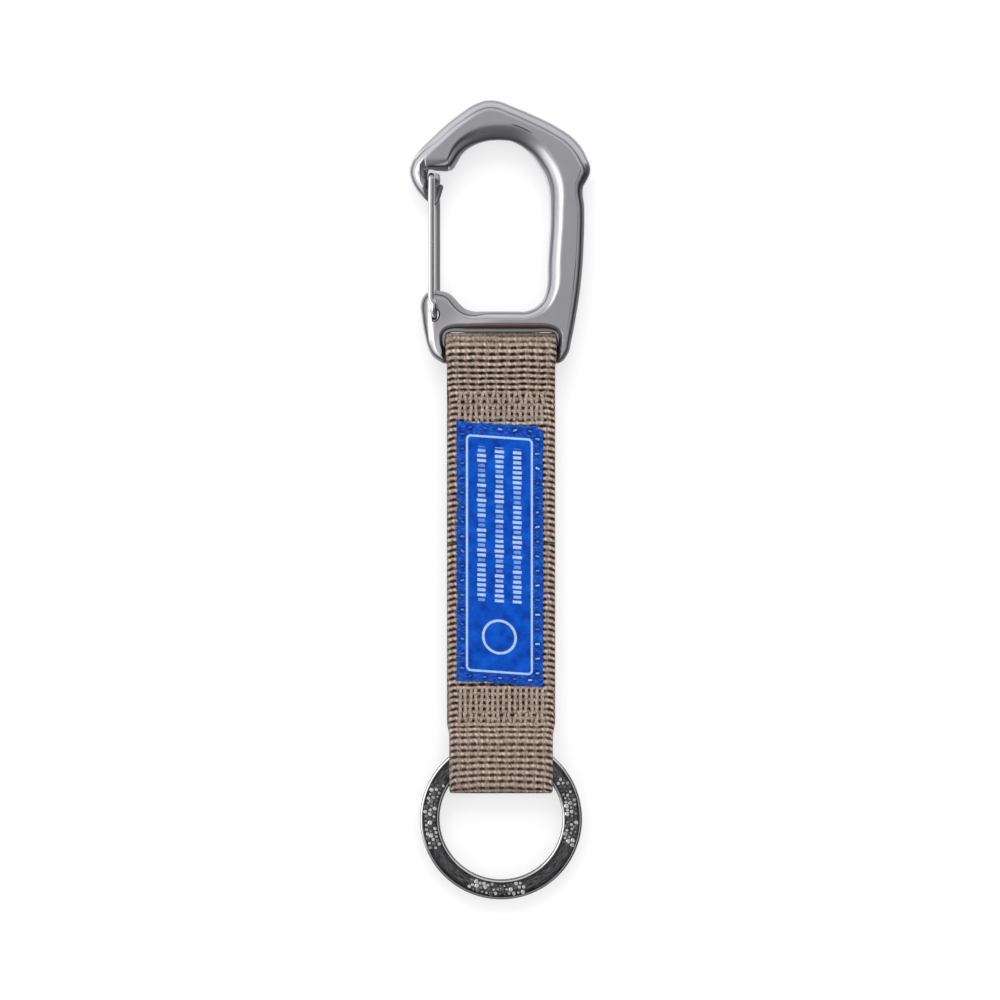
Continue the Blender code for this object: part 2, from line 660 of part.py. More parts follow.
def make_label_stitching(strap):
    """One running stitch round the patch, high over each stitch and low between two."""
    half_width = LABEL_WIDTH / 2 - SEAM_INSET
    half_length = LABEL_LENGTH / 2 - SEAM_INSET
    middle = -LABEL_TOP_DROP - LABEL_LENGTH / 2
    height = STRAP_HALF + 2 * TRIM_GAP + LABEL_THICKNESS + SEAM_RADIUS + SEAM_WAVE
    corners = [(-half_width, -half_length), (half_width, -half_length),
               (half_width, half_length), (-half_width, half_length)]
    points = []
    for index, corner in enumerate(corners):
        run = Vector(corners[(index + 1) % 4]) - Vector(corner)
        stitches = round(run.length / SEAM_PITCH)
        for step in range(stitches * STITCH_STEPS):
            spot = Vector(corner) + run * step / (stitches * STITCH_STEPS)
            wave = -math.cos(math.tau * step / STITCH_STEPS) * SEAM_WAVE
            points.append((spot.x, spot.y + middle, height + wave))
    seam = tube("label_stitching", points, SEAM_RADIUS, PARTS, cyclic=True, resolution=0)
    seam.parent = strap
    finish(seam, make_material("label_thread", (0.02, 0.10, 0.45), 0.6, 0.0))
    return seam


def make_tack(name, row, strap):
    """One row of upright stitches, laid as a single thread that goes up and down."""
    drop, tall = row
    count = int(TACK_WIDTH / TACK_PITCH)
    turn = TACK_PITCH / 2
    top, bottom = -drop - turn, -drop - tall + turn
    height = STRAP_HALF + TRIM_GAP + TACK_RADIUS
    points = []
    for index in range(count + 1):
        x = (index - count / 2) * TACK_PITCH
        ends = (bottom, top) if index % 2 == 0 else (top, bottom)
        points += [(x, ends[0], height), (x, ends[1], height)]
        if index < count:
            side = 1 if index % 2 == 0 else -1
            for angle in TURN_ANGLES:
                turned = math.radians(angle)
                points.append((x + turn + turn * math.cos(turned),
                               ends[1] + side * turn * math.sin(turned), height))
    tack = tube(name, points, TACK_RADIUS, PARTS, resolution=1)
    tack.parent = strap
    finish(tack, make_material(name + "_thread", (0.36, 0.30, 0.24), 0.8, 0.0))
    return tack


HOOK = make_hook()
make_gate(HOOK)
STRAP = make_strap()
make_label(STRAP)
make_label_stitching(STRAP)
make_tack("upper_tack_short", UPPER_SHORT_ROW, STRAP)
make_tack("upper_tack_tall", UPPER_TALL_ROW, STRAP)
make_tack("lower_tack_tall", LOWER_TALL_ROW, STRAP)
make_tack("lower_tack_short", LOWER_SHORT_ROW, STRAP)
HINGE = make_hinge_empty()
make_ring_loop(HINGE)
make_ring(HINGE)
bpy.context.view_layer.update()
print("overall length", round(LENGTH / MM, 2), "mm, ring lean", round(math.degrees(RING_LEAN), 2))
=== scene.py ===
"""Looks for the hook keyring: a cast hook, a wire gate, a webbing strap, a woven label and a split ring.

It lies flat: +X to the right, +Y towards the hook, +Z up. Sizes are in millimetres times MM.
"""

import math

import bmesh
import bpy
from mathutils import Matrix, Vector, noise
from mathutils.kdtree import KDTree


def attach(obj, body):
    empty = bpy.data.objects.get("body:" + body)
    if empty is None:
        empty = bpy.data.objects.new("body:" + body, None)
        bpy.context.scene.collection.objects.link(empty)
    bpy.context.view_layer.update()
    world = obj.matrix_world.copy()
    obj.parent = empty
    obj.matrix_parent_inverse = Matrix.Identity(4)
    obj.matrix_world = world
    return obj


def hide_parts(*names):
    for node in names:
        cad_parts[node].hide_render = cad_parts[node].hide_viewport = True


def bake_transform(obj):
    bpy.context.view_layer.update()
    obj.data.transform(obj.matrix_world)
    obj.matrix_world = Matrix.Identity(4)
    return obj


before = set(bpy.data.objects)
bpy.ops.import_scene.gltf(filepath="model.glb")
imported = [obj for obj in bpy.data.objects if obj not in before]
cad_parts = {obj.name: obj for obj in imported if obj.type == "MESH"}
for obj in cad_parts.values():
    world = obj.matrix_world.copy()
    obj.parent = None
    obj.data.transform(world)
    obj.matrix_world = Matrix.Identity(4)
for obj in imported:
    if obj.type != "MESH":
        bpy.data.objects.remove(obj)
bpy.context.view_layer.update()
MM = 0.001


# The stage: a white table seen from straight above, through a long lens that keeps the strap's sides
# upright. White surroundings and a panel beyond light it softly. A panel on the left, a dark card on
# the right and grey ones near, far and above show only in the metal, and give it its contrast.
PICTURE_WIDTH = 185.2 * MM
CAMERA_HEIGHT = 1000 * MM
SENSOR_WIDTH = 36
MIDDLE_Z = 3 * MM              # the hook, the strap and both loops are centred at this height
TABLE_SIZE = 4000 * MM

camera = bpy.data.objects.new("camera", bpy.data.cameras.new("camera"))
camera.data.sensor_fit = "HORIZONTAL"
camera.data.sensor_width = SENSOR_WIDTH
camera.data.lens = SENSOR_WIDTH * CAMERA_HEIGHT / PICTURE_WIDTH
camera.data.clip_start = 10 * MM
camera.data.clip_end = 100
camera.location = (0, 0, MIDDLE_Z + CAMERA_HEIGHT)
bpy.context.scene.collection.objects.link(camera)
bpy.context.scene.camera = camera
bpy.context.scene.view_settings.view_transform = "Standard"


class Socket:
    """A node's output that Python arithmetic can be done on."""

    def __init__(self, tree, link):
        self.tree, self.link = tree, link

    def math(self, operation, *others, clamp=False):
        node = self.tree.nodes.new("ShaderNodeMath")
        node.operation, node.use_clamp = operation, clamp
        for index, value in enumerate((self, *others)):
            if isinstance(value, Socket):
                self.tree.links.new(value.link, node.inputs[index])
            else:
                node.inputs[index].default_value = value
        return Socket(self.tree, node.outputs[0])

    def turned(self, operation, first):
        node = self.tree.nodes.new("ShaderNodeMath")
        node.operation = operation
        node.inputs[0].default_value = first
        self.tree.links.new(self.link, node.inputs[1])
        return Socket(self.tree, node.outputs[0])

    def __add__(self, other):
        return self.math("ADD", other)

    def __radd__(self, other):
        return self.math("ADD", other)

    def __sub__(self, other):
        return self.math("SUBTRACT", other)

    def __rsub__(self, other):
        return self.turned("SUBTRACT", other)

    def __mul__(self, other):
        return self.math("MULTIPLY", other)

    def __rmul__(self, other):
        return self.math("MULTIPLY", other)

    def __truediv__(self, other):
        return self.math("DIVIDE", other)

    def clamped(self):
        return self.math("ADD", 0, clamp=True)

    def between(self, low, high):
        """Runs smoothly from 0 at low to 1 at high, or the other way when high is the lower one."""
        share = ((self - low) / (high - low)).clamped()
        return share * share * (3 - 2 * share)

    def swing(self):
        """How far the value is from the middle of its whole step: 0 in the middle, 1 at its ends."""
        return (self.math("FRACT") - 0.5).math("ABSOLUTE") * 2


class Shading:
    """A material, and one method that adds any node to it."""

    def __init__(self, name):
        self.material = bpy.data.materials.new(name)
        self.material.use_nodes = True
        self.tree = self.material.node_tree
        self.shader = self.tree.nodes["Principled BSDF"]
        self.output = self.tree.nodes["Material Output"]

    def node(self, kind, settings=None, output=0, **inputs):
        node = self.tree.nodes.new(kind)
        for key, value in (settings or {}).items():
            if key == "stops":
                ramp = node.color_ramp
                while len(ramp.elements) < len(value):
                    ramp.elements.new(0.5)
                for element, (place, color) in zip(ramp.elements, value):
                    element.position, element.color = place, (*color, 1)
            else:
                setattr(node, key, value)
        for key, value in inputs.items():
            socket = next(s for s in node.inputs if s.identifier == key or s.name == key.replace("_", " "))
            self.feed(socket, value)
        return Socket(self.tree, node.outputs[output])

    def mix(self, first, second, factor):
        """Two colours mixed: the first at factor 0, the second at 1."""
        return self.node("ShaderNodeMix", {"data_type": "RGBA"}, output=2, Factor_Float=factor,
                         A_Color=first if isinstance(first, Socket) else (*first, 1),
                         B_Color=second if isinstance(second, Socket) else (*second, 1))

    def feed(self, socket, value):
        if isinstance(value, Socket):
            self.tree.links.new(value.link, socket)
        else:
            socket.default_value = value

    def set(self, **inputs):
        for key, value in inputs.items():
            self.feed(self.shader.inputs[key.replace("_", " ")], value)
        return self


def seen_rays(tree):
    """1 for rays from the camera, from shiny surfaces and through clear ones, and 0 for all others."""
    path = tree.nodes.new("ShaderNodeLightPath")
    camera_ray, shiny_ray, clear_ray = (Socket(tree, path.outputs[name]) for name in
                                        ("Is Camera Ray", "Is Glossy Ray", "Is Transmission Ray"))
    return (camera_ray + shiny_ray + clear_ray).clamped()


TABLE_ALBEDO = 0.5
TABLE_LIFT = 0.59              # brings the open table up to white, and leaves its shadows

table_finish = Shading("white_table")
seen = seen_rays(table_finish.tree)
table_finish.tree.nodes.remove(table_finish.shader)
matt = table_finish.node("ShaderNodeBsdfDiffuse", Color=(TABLE_ALBEDO,) * 3 + (1,))
lift = table_finish.node("ShaderNodeEmission", Color=(1, 1, 1, 1), Strength=TABLE_LIFT)
both = table_finish.tree.nodes.new("ShaderNodeAddShader")
table_finish.tree.links.new(matt.link, both.inputs[0])
table_finish.tree.links.new(lift.link, both.inputs[1])
mixed = table_finish.tree.nodes.new("ShaderNodeMixShader")
table_finish.tree.links.new(seen.link, mixed.inputs[0])
table_finish.tree.links.new(matt.link, mixed.inputs[1])
table_finish.tree.links.new(both.outputs[0], mixed.inputs[2])
table_finish.tree.links.new(mixed.outputs[0], table_finish.output.inputs["Surface"])

bm = bmesh.new()
bmesh.ops.create_grid(bm, x_segments=1, y_segments=1, size=TABLE_SIZE / 2)
table_mesh = bpy.data.meshes.new("table")
bm.to_mesh(table_mesh)
bm.free()
table = bpy.data.objects.new("table", table_mesh)
table.data.materials.append(table_finish.material)
bpy.context.scene.collection.objects.link(table)

WORLD_LIGHT = 0.77
world = bpy.data.worlds.new("studio")
world.use_nodes = True
bpy.context.scene.world = world
dim = world.node_tree.nodes["Background"]
dim.inputs["Color"].default_value = (1, 1, 1, 1)
dim.inputs["Strength"].default_value = WORLD_LIGHT
white = world.node_tree.nodes.new("ShaderNodeBackground")
white.inputs["Color"].default_value = (1, 1, 1, 1)
backdrop = world.node_tree.nodes.new("ShaderNodeMixShader")
world.node_tree.links.new(seen_rays(world.node_tree).link, backdrop.inputs[0])
world.node_tree.links.new(dim.outputs[0], backdrop.inputs[1])
world.node_tree.links.new(white.outputs[0], backdrop.inputs[2])
world.node_tree.links.new(backdrop.outputs[0], world.node_tree.nodes["World Output"].inputs["Surface"])


def soft_lamp(name, place, width, height, radiance):
    """A rectangular lamp that faces the keyring, as bright as radiance says wherever it is seen."""
    lamp = bpy.data.lights.new(name, "AREA")
    lamp.shape, lamp.size, lamp.size_y = "RECTANGLE", width, height
    lamp.energy = radiance * math.pi * width * height
    item = bpy.data.objects.new(name, lamp)
    item.location = place
    item.rotation_euler = Vector(place).to_track_quat("Z", "Y").to_euler()
    bpy.context.scene.collection.objects.link(item)
    return item


# The places and sizes of the panels and cards are in metres.
left_panel = soft_lamp("left_panel", (-0.80, 0.06, 0.33), 1.2, 0.56, 1.5)
left_panel.visible_diffuse = False
far_panel = soft_lamp("far_panel", (-0.1, 1.0, 0.75), 1.1, 0.5, 3.7)
far_panel.visible_glossy = False


def card(name, place, width, height, finish):
    """A card that faces the keyring and that only the metal sees."""
    bm = bmesh.new()
    bmesh.ops.create_grid(bm, x_segments=1, y_segments=1, size=0.5)
    bmesh.ops.scale(bm, vec=(width, height, 1), verts=bm.verts)
    turn = Vector(place).to_track_quat("Z", "Y").to_matrix().to_4x4()
    bmesh.ops.transform(bm, matrix=Matrix.Translation(place) @ turn, verts=bm.verts)
    mesh = bpy.data.meshes.new(name)
    bm.to_mesh(mesh)
    bm.free()
    item = bpy.data.objects.new(name, mesh)
    item.data.materials.append(finish.material)
    item.visible_camera = item.visible_diffuse = item.visible_shadow = False
    bpy.context.scene.collection.objects.link(item)


dark_felt = Shading("dark_felt").set(Base_Color=(0.03, 0.03, 0.035, 1), Roughness=1.0)
card("right_card", (0.42, -0.14, 0.22), 1.0, 0.62, dark_felt)
# The grey cards glow with their grey, as painted light that shows only in the metal.
GREY_CARDS = (("near_card", (-0.05, -0.38, 0.25), 0.9, 0.62, 0.2),
              ("ceiling_card", (0.0, 0.0, 0.9), 0.9, 0.9, 0.52),
              ("far_card", (0.1, 0.75, 0.45), 1.5, 0.9, 0.68))
for name, place, width, height, grey in GREY_CARDS:
    glowing_card = Shading("glowing_grey_card").set(Base_Color=(0, 0, 0, 1), Roughness=1.0, Specular_IOR_Level=0.0,
                                      Emission_Color=(grey, grey, grey, 1), Emission_Strength=1.0)
    card(name, place, width, height, glowing_card)


# The hook: one metal casting, plated in satin nickel. A thin flange runs round it at the
# parting line, and the body stands up from it on both faces with rounded sides. It is cast, so
# all its corners are soft. A slot across its foot holds the strap, over a thinner oval bar.
HOOK_HALF = 3.0 * MM
FLANGE_HALF = 1.1 * MM
STEP = 0.28 * MM               # distance between two points of the outline
WELD = 0.002 * MM              # points closer than this are one
TINY = 0.001 * MM              # distances under this count as none

# Outline as runs of points, clockwise from the left shoulder. Each run has the flange's width, its
# height at the edge and where the body starts, the width of the body's rounding, and how far from
# the crease between flange and body painted shade reaches.
HOOK_RUNS = (
    # over the top, with its broad bevel
    ((0.45, 1.05, 1.15, 1.5, 0.3), ((-16.55, 61.9), (-16.00, 63.26))),
    ((1.3, 0.85, 1.9, 0.8, 0.12), ((-12.39, 67.25), (-8.11, 70.96))),
    ((1.5, 0.8, 2.05, 0.7, 1.0), ((-3.60, 73.70), (-1.61, 74.01), (0.10, 73.74), (2.09, 72.96))),
    ((1.6, 0.75, 2.1, 0.7, 1.2), ((6.10, 71.28), (10.70, 68.97), (14.10, 66.47), (16.00, 63.57))),
    ((1.2, 0.9, 1.4, 0.7, 1.2), ((16.75, 61.07), (15.90, 58.76))),
    # down the outside of the right bar
    ((0.62, 1.05, 1.1, 0.75, 1.3), ((15.49, 58.06), (15.64, 53.95), (15.59, 49.26), (15.09, 40.97),
                                     (13.90, 32.76))),
    # round the foot of the right leg and along the bar
    ((0.55, 1.05, 1.1, 0.65, 1.0), ((13.15, 29.0), (12.90, 27.76), (12.19, 26.37), (11.55, 25.62),
                                    (10.6, 25.25))),
    ((0.5, 1.05, 1.1, 0.8, 0.3), ((9.0, 25.21), (6.0, 25.21), (2.0, 25.21), (-2.0, 25.21), (-6.0, 25.21),
                                  (-9.0, 25.21))),
    # the left leg and the foot that holds the gate
    ((0.5, 1.05, 1.1, 0.5, 0.5), ((-10.3, 25.26), (-11.3, 25.70), (-12.70, 26.86))),
    ((0.45, 1.05, 1.1, 1.3, 0.4), ((-13.50, 28.56), (-13.9, 30.2), (-14.25, 31.96))),
    ((0.45, 1.05, 1.1, 0.7, 0.35), ((-14.55, 34.2), (-14.71, 36.28))),
    ((0.7, 1.05, 1.1, 0.9, 0.3), ((-14.10, 37.85), (-12.80, 38.67), (-11.11, 38.71), (-9.50, 38.28))),
    ((1.25, 1.0, 1.0, 0.45, 0.3), ((-8.39, 37.38), (-7.50, 36.36), (-6.40, 35.42))),
    # along the opening's floor and up the inside of the right bar
    ((0.45, 1.05, 1.2, 1.1, 0.15), ((-5.01, 34.95), (-3.0, 34.91), (0.0, 34.91), (3.0, 34.91),
                                    (5.01, 34.97), (7.20, 36.16))),
    ((0.55, 1.05, 1.1, 1.95, 0.4), ((8.39, 38.35), (8.84, 44.26), (9.25, 54.27))),
    ((0.9, 1.05, 1.1, 2.2, 0.5), ((8.80, 58.45), (7.28, 61.80))),
    ((0.5, 1.05, 1.1, 2.5, 1.4), ((4.80, 64.85),)),
    ((0.35, 1.05, 1.1, 2.6, 2.2), ((2.20, 66.38), (1.24, 66.56), (-1.74, 66.56), (-2.70, 66.40))),
    ((0.6, 1.05, 1.1, 2.2, 1.9), ((-5.19, 65.45),)),
    ((0.75, 1.05, 1.1, 1.3, 1.7), ((-6.90, 64.10), (-8.01, 62.24))),
    # the ledge under the head, which the gate closes against
    ((1.05, 1.05, 1.1, 0.9, 0.5), ((-8.79, 61.15), (-9.60, 60.88))),
    ((0.95, 1.05, 1.1, 0.3, 0.5), ((-11.5, 60.95),)),
    # round the nose, which the gate closes behind
    ((0.2, 1.05, 1.1, 0.15, 0.4), ((-13.2, 61.15), (-13.8, 60.85), (-13.9, 60.3), (-13.6, 59.5),
                                   (-13.0, 59.02), (-12.3, 58.85), (-11.75, 58.7), (-11.25, 58.45))),
    ((0.25, 1.05, 1.1, 0.6, 0.3), ((-10.78, 58.42), (-10.5, 58.0), (-10.7, 57.16), (-11.11, 55.8),
                                   (-11.55, 54.75), (-12.25, 54.5))),
    ((0.4, 1.05, 1.1, 1.15, 0.35), ((-13.40, 55.3), (-14.61, 56.45), (-15.69, 57.8), (-16.45, 59.35),
                                    (-16.74, 60.76))),
)
# The slot that the strap goes through, and the hole that the gate's two ends are sprung into.
SLOT_RUNS = (
    ((0.5, 1.05, 1.1, 0.8, 0.5), ((-9.3, 28.21), (-6.0, 28.21), (-2.0, 28.21), (2.0, 28.21), (6.0, 28.21),
                                  (9.7, 28.21))),
    ((0.3, 1.05, 1.1, 0.6, 0.15), ((10.25, 28.5), (10.5, 29.6), (10.25, 30.7))),
    ((0.8, 1.05, 1.1, 0.95, 0.75), ((9.7, 31.0), (6.0, 31.0), (2.0, 31.0), (-2.0, 31.0), (-6.0, 31.0),
                                   (-9.3, 31.0))),
    ((0.55, 1.05, 1.1, 0.4, 0.1), ((-9.9, 30.7), (-10.1, 29.6), (-9.9, 28.5))),
)
PIN_HOLE = Vector((-12.15, 34.35))
PIN_HOLE_HALF = (0.8, 1.15)
PIN_HOLE_RUNS = tuple(
    ((0.0, 1.05, 1.1, rounding, 0.4), tuple((PIN_HOLE.x + PIN_HOLE_HALF[0] * math.cos(math.tau * step / 8),
                                             PIN_HOLE.y + PIN_HOLE_HALF[1] * math.sin(math.tau * step / 8))
                                            for step in steps))
    for rounding, steps in ((0.38, (-2, -1, 0)), (0.15, (1, 2, 3)), (0.1, (4, 5))))


def smooth_line(name, points, cyclic=True):
    """A smooth curve through the points, as evenly spaced places along it."""
    curve = bpy.data.curves.new(name, "CURVE")
    curve.dimensions = "3D"
    curve.resolution_u = 48
    spline = curve.splines.new("BEZIER")
    spline.bezier_points.add(len(points) - 1)
    for knot, place in zip(spline.bezier_points, points):
        knot.co = (*place, 0)[:3]
        knot.handle_left_type = knot.handle_right_type = "AUTO"
    spline.use_cyclic_u = cyclic
    item = bpy.data.objects.new(name, curve)
    bpy.context.scene.collection.objects.link(item)
    bpy.context.view_layer.update()
    mesh = item.evaluated_get(bpy.context.evaluated_depsgraph_get()).to_mesh()
    places = [vert.co.copy() for vert in mesh.vertices]
    bpy.data.objects.remove(item)
    bpy.data.curves.remove(curve)
    return places


def respaced(places, step, cyclic=True):
    """The same line with its points a step apart."""
    line = places + places[:1] if cyclic else places
    reach = [0]
    for before, after in zip(line, line[1:]):
        reach.append(reach[-1] + (after - before).length)
    count = round(reach[-1] / step)
    spots, index = [], 0
    for number in range(count if cyclic else count + 1):
        target = reach[-1] * number / count
        while index < len(reach) - 2 and reach[index + 1] < target:
            index += 1
        span = reach[index + 1] - reach[index]
        spots.append(line[index].lerp(line[index + 1], (target - reach[index]) / span if span else 0))
    return spots


def blended_sections(spots, runs):
    """For each spot, the section of the runs' points nearest to it, softened along the line."""
    size = len(runs[0][0])
    tree = KDTree(sum(len(points) for _, points in runs))
    sections = []
    for section, points in runs:
        for x, y in points:
            tree.insert((x * MM, y * MM, 0), len(sections))
            sections.append(section)
    tree.balance()
    found = []
    for spot in spots:
        near = tree.find_n(spot, 2)
        weights = [1 / (distance + 0.05 * MM) for _, _, distance in near]
        found.append([sum(w * sections[index][k] for w, (_, index, _) in zip(weights, near)) / sum(weights)
                      for k in range(size)])
    reach = min(10, len(found) // 8)
    return [[sum(found[(i + o) % len(found)][k] for o in range(-reach, reach + 1)) / (2 * reach + 1)
             for k in range(size)] for i in range(len(found))]


def moved_in(spots, distances, tree):
    """Each spot moved in by its distance; spots that would cross share a place."""
    count = len(spots)
    moved, kept = [], []
    for index, spot in enumerate(spots):
        along = (spots[(index + 1) % count] - spots[index - 1]).normalized()
        target = spot + Vector((along.y, -along.x, 0)) * distances[index]
        moved.append(target)
        nearest = tree.find(target)[2]
        kept.append(nearest > distances[index] * 0.97 - 0.02 * MM)
    result = list(moved)
    for index in range(count):
        if not kept[index]:
            before = next(k for k in range(index, index - count, -1) if kept[k % count])
            after = next(k for k in range(index, index + count) if kept[k % count])
            result[index] = (moved[before % count] + moved[after % count]) / 2
    return result


hook_lines = []
line_tree = KDTree(4000)
for name, runs, step in (("hook_outline", HOOK_RUNS, STEP), ("slot_outline", SLOT_RUNS, STEP),
                         ("pin_outline", PIN_HOLE_RUNS, STEP / 2)):
    line = respaced(smooth_line(name, [(x * MM, y * MM) for _, points in runs for x, y in points]), step)
    hook_lines.append((line, blended_sections(line, runs)))
    for spot in line:
        line_tree.insert(spot, 0)
line_tree.balance()


def eased(share):
    """From 0 to 1 with a soft start and end, and level past them."""
    share = min(max(share, 0), 1)
    return share * share * (3 - 2 * share)


def ramp(value, start, end):
    """How far the value has come from start to end, eased."""
    return eased((value - start) / (end - start))


# Each level is (share of the flange's width, share of the rounding's width, zone, share of its height).
ROUND_STEPS = 9
ROUND_POWER = 1.6              # between a straight chamfer, 1, and a full round, 2
levels = [(0, 0, "edge", 0.6), (0.08, 0, "edge", 0.88), (0.2, 0, "edge", 0.98), (0.3, 0, "flange", 0),
          (0.82, 0, "flange", 0.84), (0.92, 0, "flange", 1.0), (1.0, 0.02, "body", 0.04)]
for step in range(1, ROUND_STEPS + 1):
    share = 1 - math.cos(math.pi / 2 * step / ROUND_STEPS)
    levels.append((1.0, share, "body", 1 - (1 - share) ** ROUND_POWER))
levels.append((1.0, 1.1, "body", 1.0))


def closed_edges(verts):
    """The edges round a ring of points, made where they're missing."""
    edges = []
    for number, vert in enumerate(verts):
        after = verts[(number + 1) % len(verts)]
        edges.append(bm.edges.get((vert, after)) or bm.edges.new((vert, after)))
    return edges


bm = bmesh.new()
painted_shade_layer = bm.verts.layers.float.new("dull")
middles = [[bm.verts.new(spot) for spot in line] for line, _ in hook_lines]
for side in (1, -1):
    last = []
    for number, ((line, sections), middle) in enumerate(zip(hook_lines, middles)):
        ring_verts = middle
        for flange_share, round_share, zone, share in levels:
            grown = bmesh.ops.extrude_edge_only(bm, edges=closed_edges(ring_verts))["geom"]
            fresh = {item for item in grown if isinstance(item, bmesh.types.BMVert)}
            old = set(ring_verts)
            partner = {next(edge.other_vert(vert) for edge in vert.link_edges
                            if edge.other_vert(vert) in old): vert for vert in fresh}
            ring_verts = [partner[vert] for vert in ring_verts]
            reach = [(flange_share * width + round_share * rounding) * MM
                     for width, _, _, rounding, _ in sections]
            spots = moved_in(line, reach, line_tree)
            for vert, spot, (width, low, top, rounding, dull) in zip(ring_verts, spots, sections):
                height = {"edge": low * share, "flange": low + (top - low) * share,
                          "body": top + (HOOK_HALF / MM - top) * share}
                vert.co = (spot.x, spot.y, side * height[zone] * MM)
                # The attribute set here is painted shade: dark near the crease between flange and body, less
                # where the crease opens wide, and inside the slot and the pin hole.
                from_crease = (1 - flange_share) * width * 2 + round_share * rounding
                open_crease = 1 - 0.55 * ramp(top - low, 0.1, 0.9)
                shade = 0.7 if number and zone == "edge" else 0        # inside the slot and the pin hole
                vert[painted_shade_layer] = 0 if round_share > 1 else max(
                    (1 - eased(from_crease / dull)) * open_crease, shade)
        last += closed_edges(ring_verts)
    bmesh.ops.remove_doubles(bm, verts=list({v for e in last for v in e.verts}), dist=WELD)
    last = [edge for edge in bm.edges
            if edge.is_boundary and all(abs(v.co.z - side * HOOK_HALF) < TINY for v in edge.verts)]
    bmesh.ops.triangle_fill(bm, use_beauty=True, edges=last)
bmesh.ops.remove_doubles(bm, verts=bm.verts, dist=WELD)
bmesh.ops.recalc_face_normals(bm, faces=bm.faces)

# The foot and the nose are lower than the body on both faces, so that the gate's legs can lie over
# them, and the bar under the slot is thinner. Their faces are cut into a fine grid first. Each
# stretch has the grid's step, its lowest X and Y, and its highest X and Y, in mm.
LOW_STRETCHES = ((0.35, -15.0, 25.0, 2.0, 39.0),
                 (0.2, -17.0, 54.3, -8.9, 63.5),
                 (0.35, 2.0, 25.2, 11.6, 28.4))
for grid_step, low_x, low_y, high_x, high_y in LOW_STRETCHES:
    cells = [face for face in bm.faces
             if min(v.co.x for v in face.verts) < high_x * MM
             and max(v.co.x for v in face.verts) > low_x * MM
             and min(v.co.y for v in face.verts) < high_y * MM
             and max(v.co.y for v in face.verts) > low_y * MM
             and min(abs(v.co.z) for v in face.verts) > HOOK_HALF - TINY]
    cells = list({e for f in cells for e in f.edges} | {v for f in cells for v in f.verts}) + cells
    for axis, low, high in ((0, low_x, high_x), (1, low_y, high_y)):
        normal = Vector((1 - axis, axis, 0))
        for step in range(int((high - low) / grid_step) + 1):
            cells = bmesh.ops.bisect_plane(bm, geom=cells, plane_co=normal * (low + grid_step * step) * MM,
                                           plane_no=normal, dist=0.004 * MM)["geom"]
    bmesh.ops.triangulate(bm, faces=[item for item in cells if isinstance(item, bmesh.types.BMFace)])

# Sizes in mm: where the foot's face is at its lowest, which way it falls and how long for, the
# highest X and Y of foot and nose, the low faces' heights from the middle, the oval bar, and where
# the slot over it ends.
FOOT_START, FOOT_TURN, FOOT_RUN = Vector((-11.5, 33.16)), Vector((-0.707, 0.707)), 9.0
FOOT_END, NOSE_END = (2, 40), (-9.5, 63.5)
LOW_HALF, LOW_FLANGE_HALF = 1.4, 0.72
BAR_MIDDLE, BAR_HALF_HEIGHT, BAR_HALF_DEPTH = 26.713, 1.5, 1.2
SLOT_ENDS = (-10.6, 11.0)
BAR_PAST, BAR_FADE = 0.35, 0.9     # how far the bar goes past the slot, and the length it fades over

for vert in bm.verts:
    x, y, height = vert.co.x / MM, vert.co.y / MM, abs(vert.co.z) / MM
    body = FLANGE_HALF / MM
    if height > body:
        low = LOW_FLANGE_HALF + (LOW_HALF - LOW_FLANGE_HALF) * (height - body) / (HOOK_HALF / MM - body)
    else:
        low = height * LOW_FLANGE_HALF / body
    if x < FOOT_END[0] and y < FOOT_END[1]:
        if height > body:      # on its outer side the face falls to the flange
            low -= (low - LOW_FLANGE_HALF) * ramp(x, -12.1, -13.7) * ramp(y, 26.8, 29.0)
        press = eased((Vector((x, y)) - FOOT_START).dot(FOOT_TURN) / FOOT_RUN + 1)
    elif x < NOSE_END[0] and y < NOSE_END[1]:
        # the head slopes to a recess for the gate's leg; painted shade darkens it beside the wire and at the
        # nose's tip
        recess = ramp(x, -14.95, -13.4) * ramp(y, 62.1, 60.5)
        press = max(recess, 0.6 * ramp(y, 63.4, 60.0))
        low *= 1 - 0.45 * ramp(x, -12.4, -10.4)
        beside_wire = ramp(x, -14.4, -13.6) * ramp(x, -12.7, -13.3) * ramp(y, 61.6, 60.2)
        tip = ramp(x, -12.0, -11.5) * ramp(y, 58.4, 57.9) * (height > body + 0.1)
        vert[painted_shade_layer] = max(vert[painted_shade_layer], 0.35 * recess, 0.9 * beside_wire, 0.85 * tip)
    else:
        press = 0
    height += (low - height) * press
    if y < BAR_MIDDLE + BAR_HALF_HEIGHT + 0.001:
        bar = math.sqrt(max(1 - ((y - BAR_MIDDLE) / BAR_HALF_HEIGHT) ** 2, 0)) * BAR_HALF_DEPTH
        share = (eased((x - SLOT_ENDS[0] + BAR_PAST) / BAR_FADE)
                 * eased((SLOT_ENDS[1] - x + BAR_PAST) / BAR_FADE))
        height += (min(bar, height) - height) * share
    vert.co.z = math.copysign(height * MM, vert.co.z)

hook_mesh = bpy.data.meshes.new("cast_hook")
bm.to_mesh(hook_mesh)
bm.free()
hook = bpy.data.objects.new("cast_hook", hook_mesh)
bpy.context.scene.collection.objects.link(hook)
hook.data.transform(Matrix.Translation((0, 0, MIDDLE_Z)))

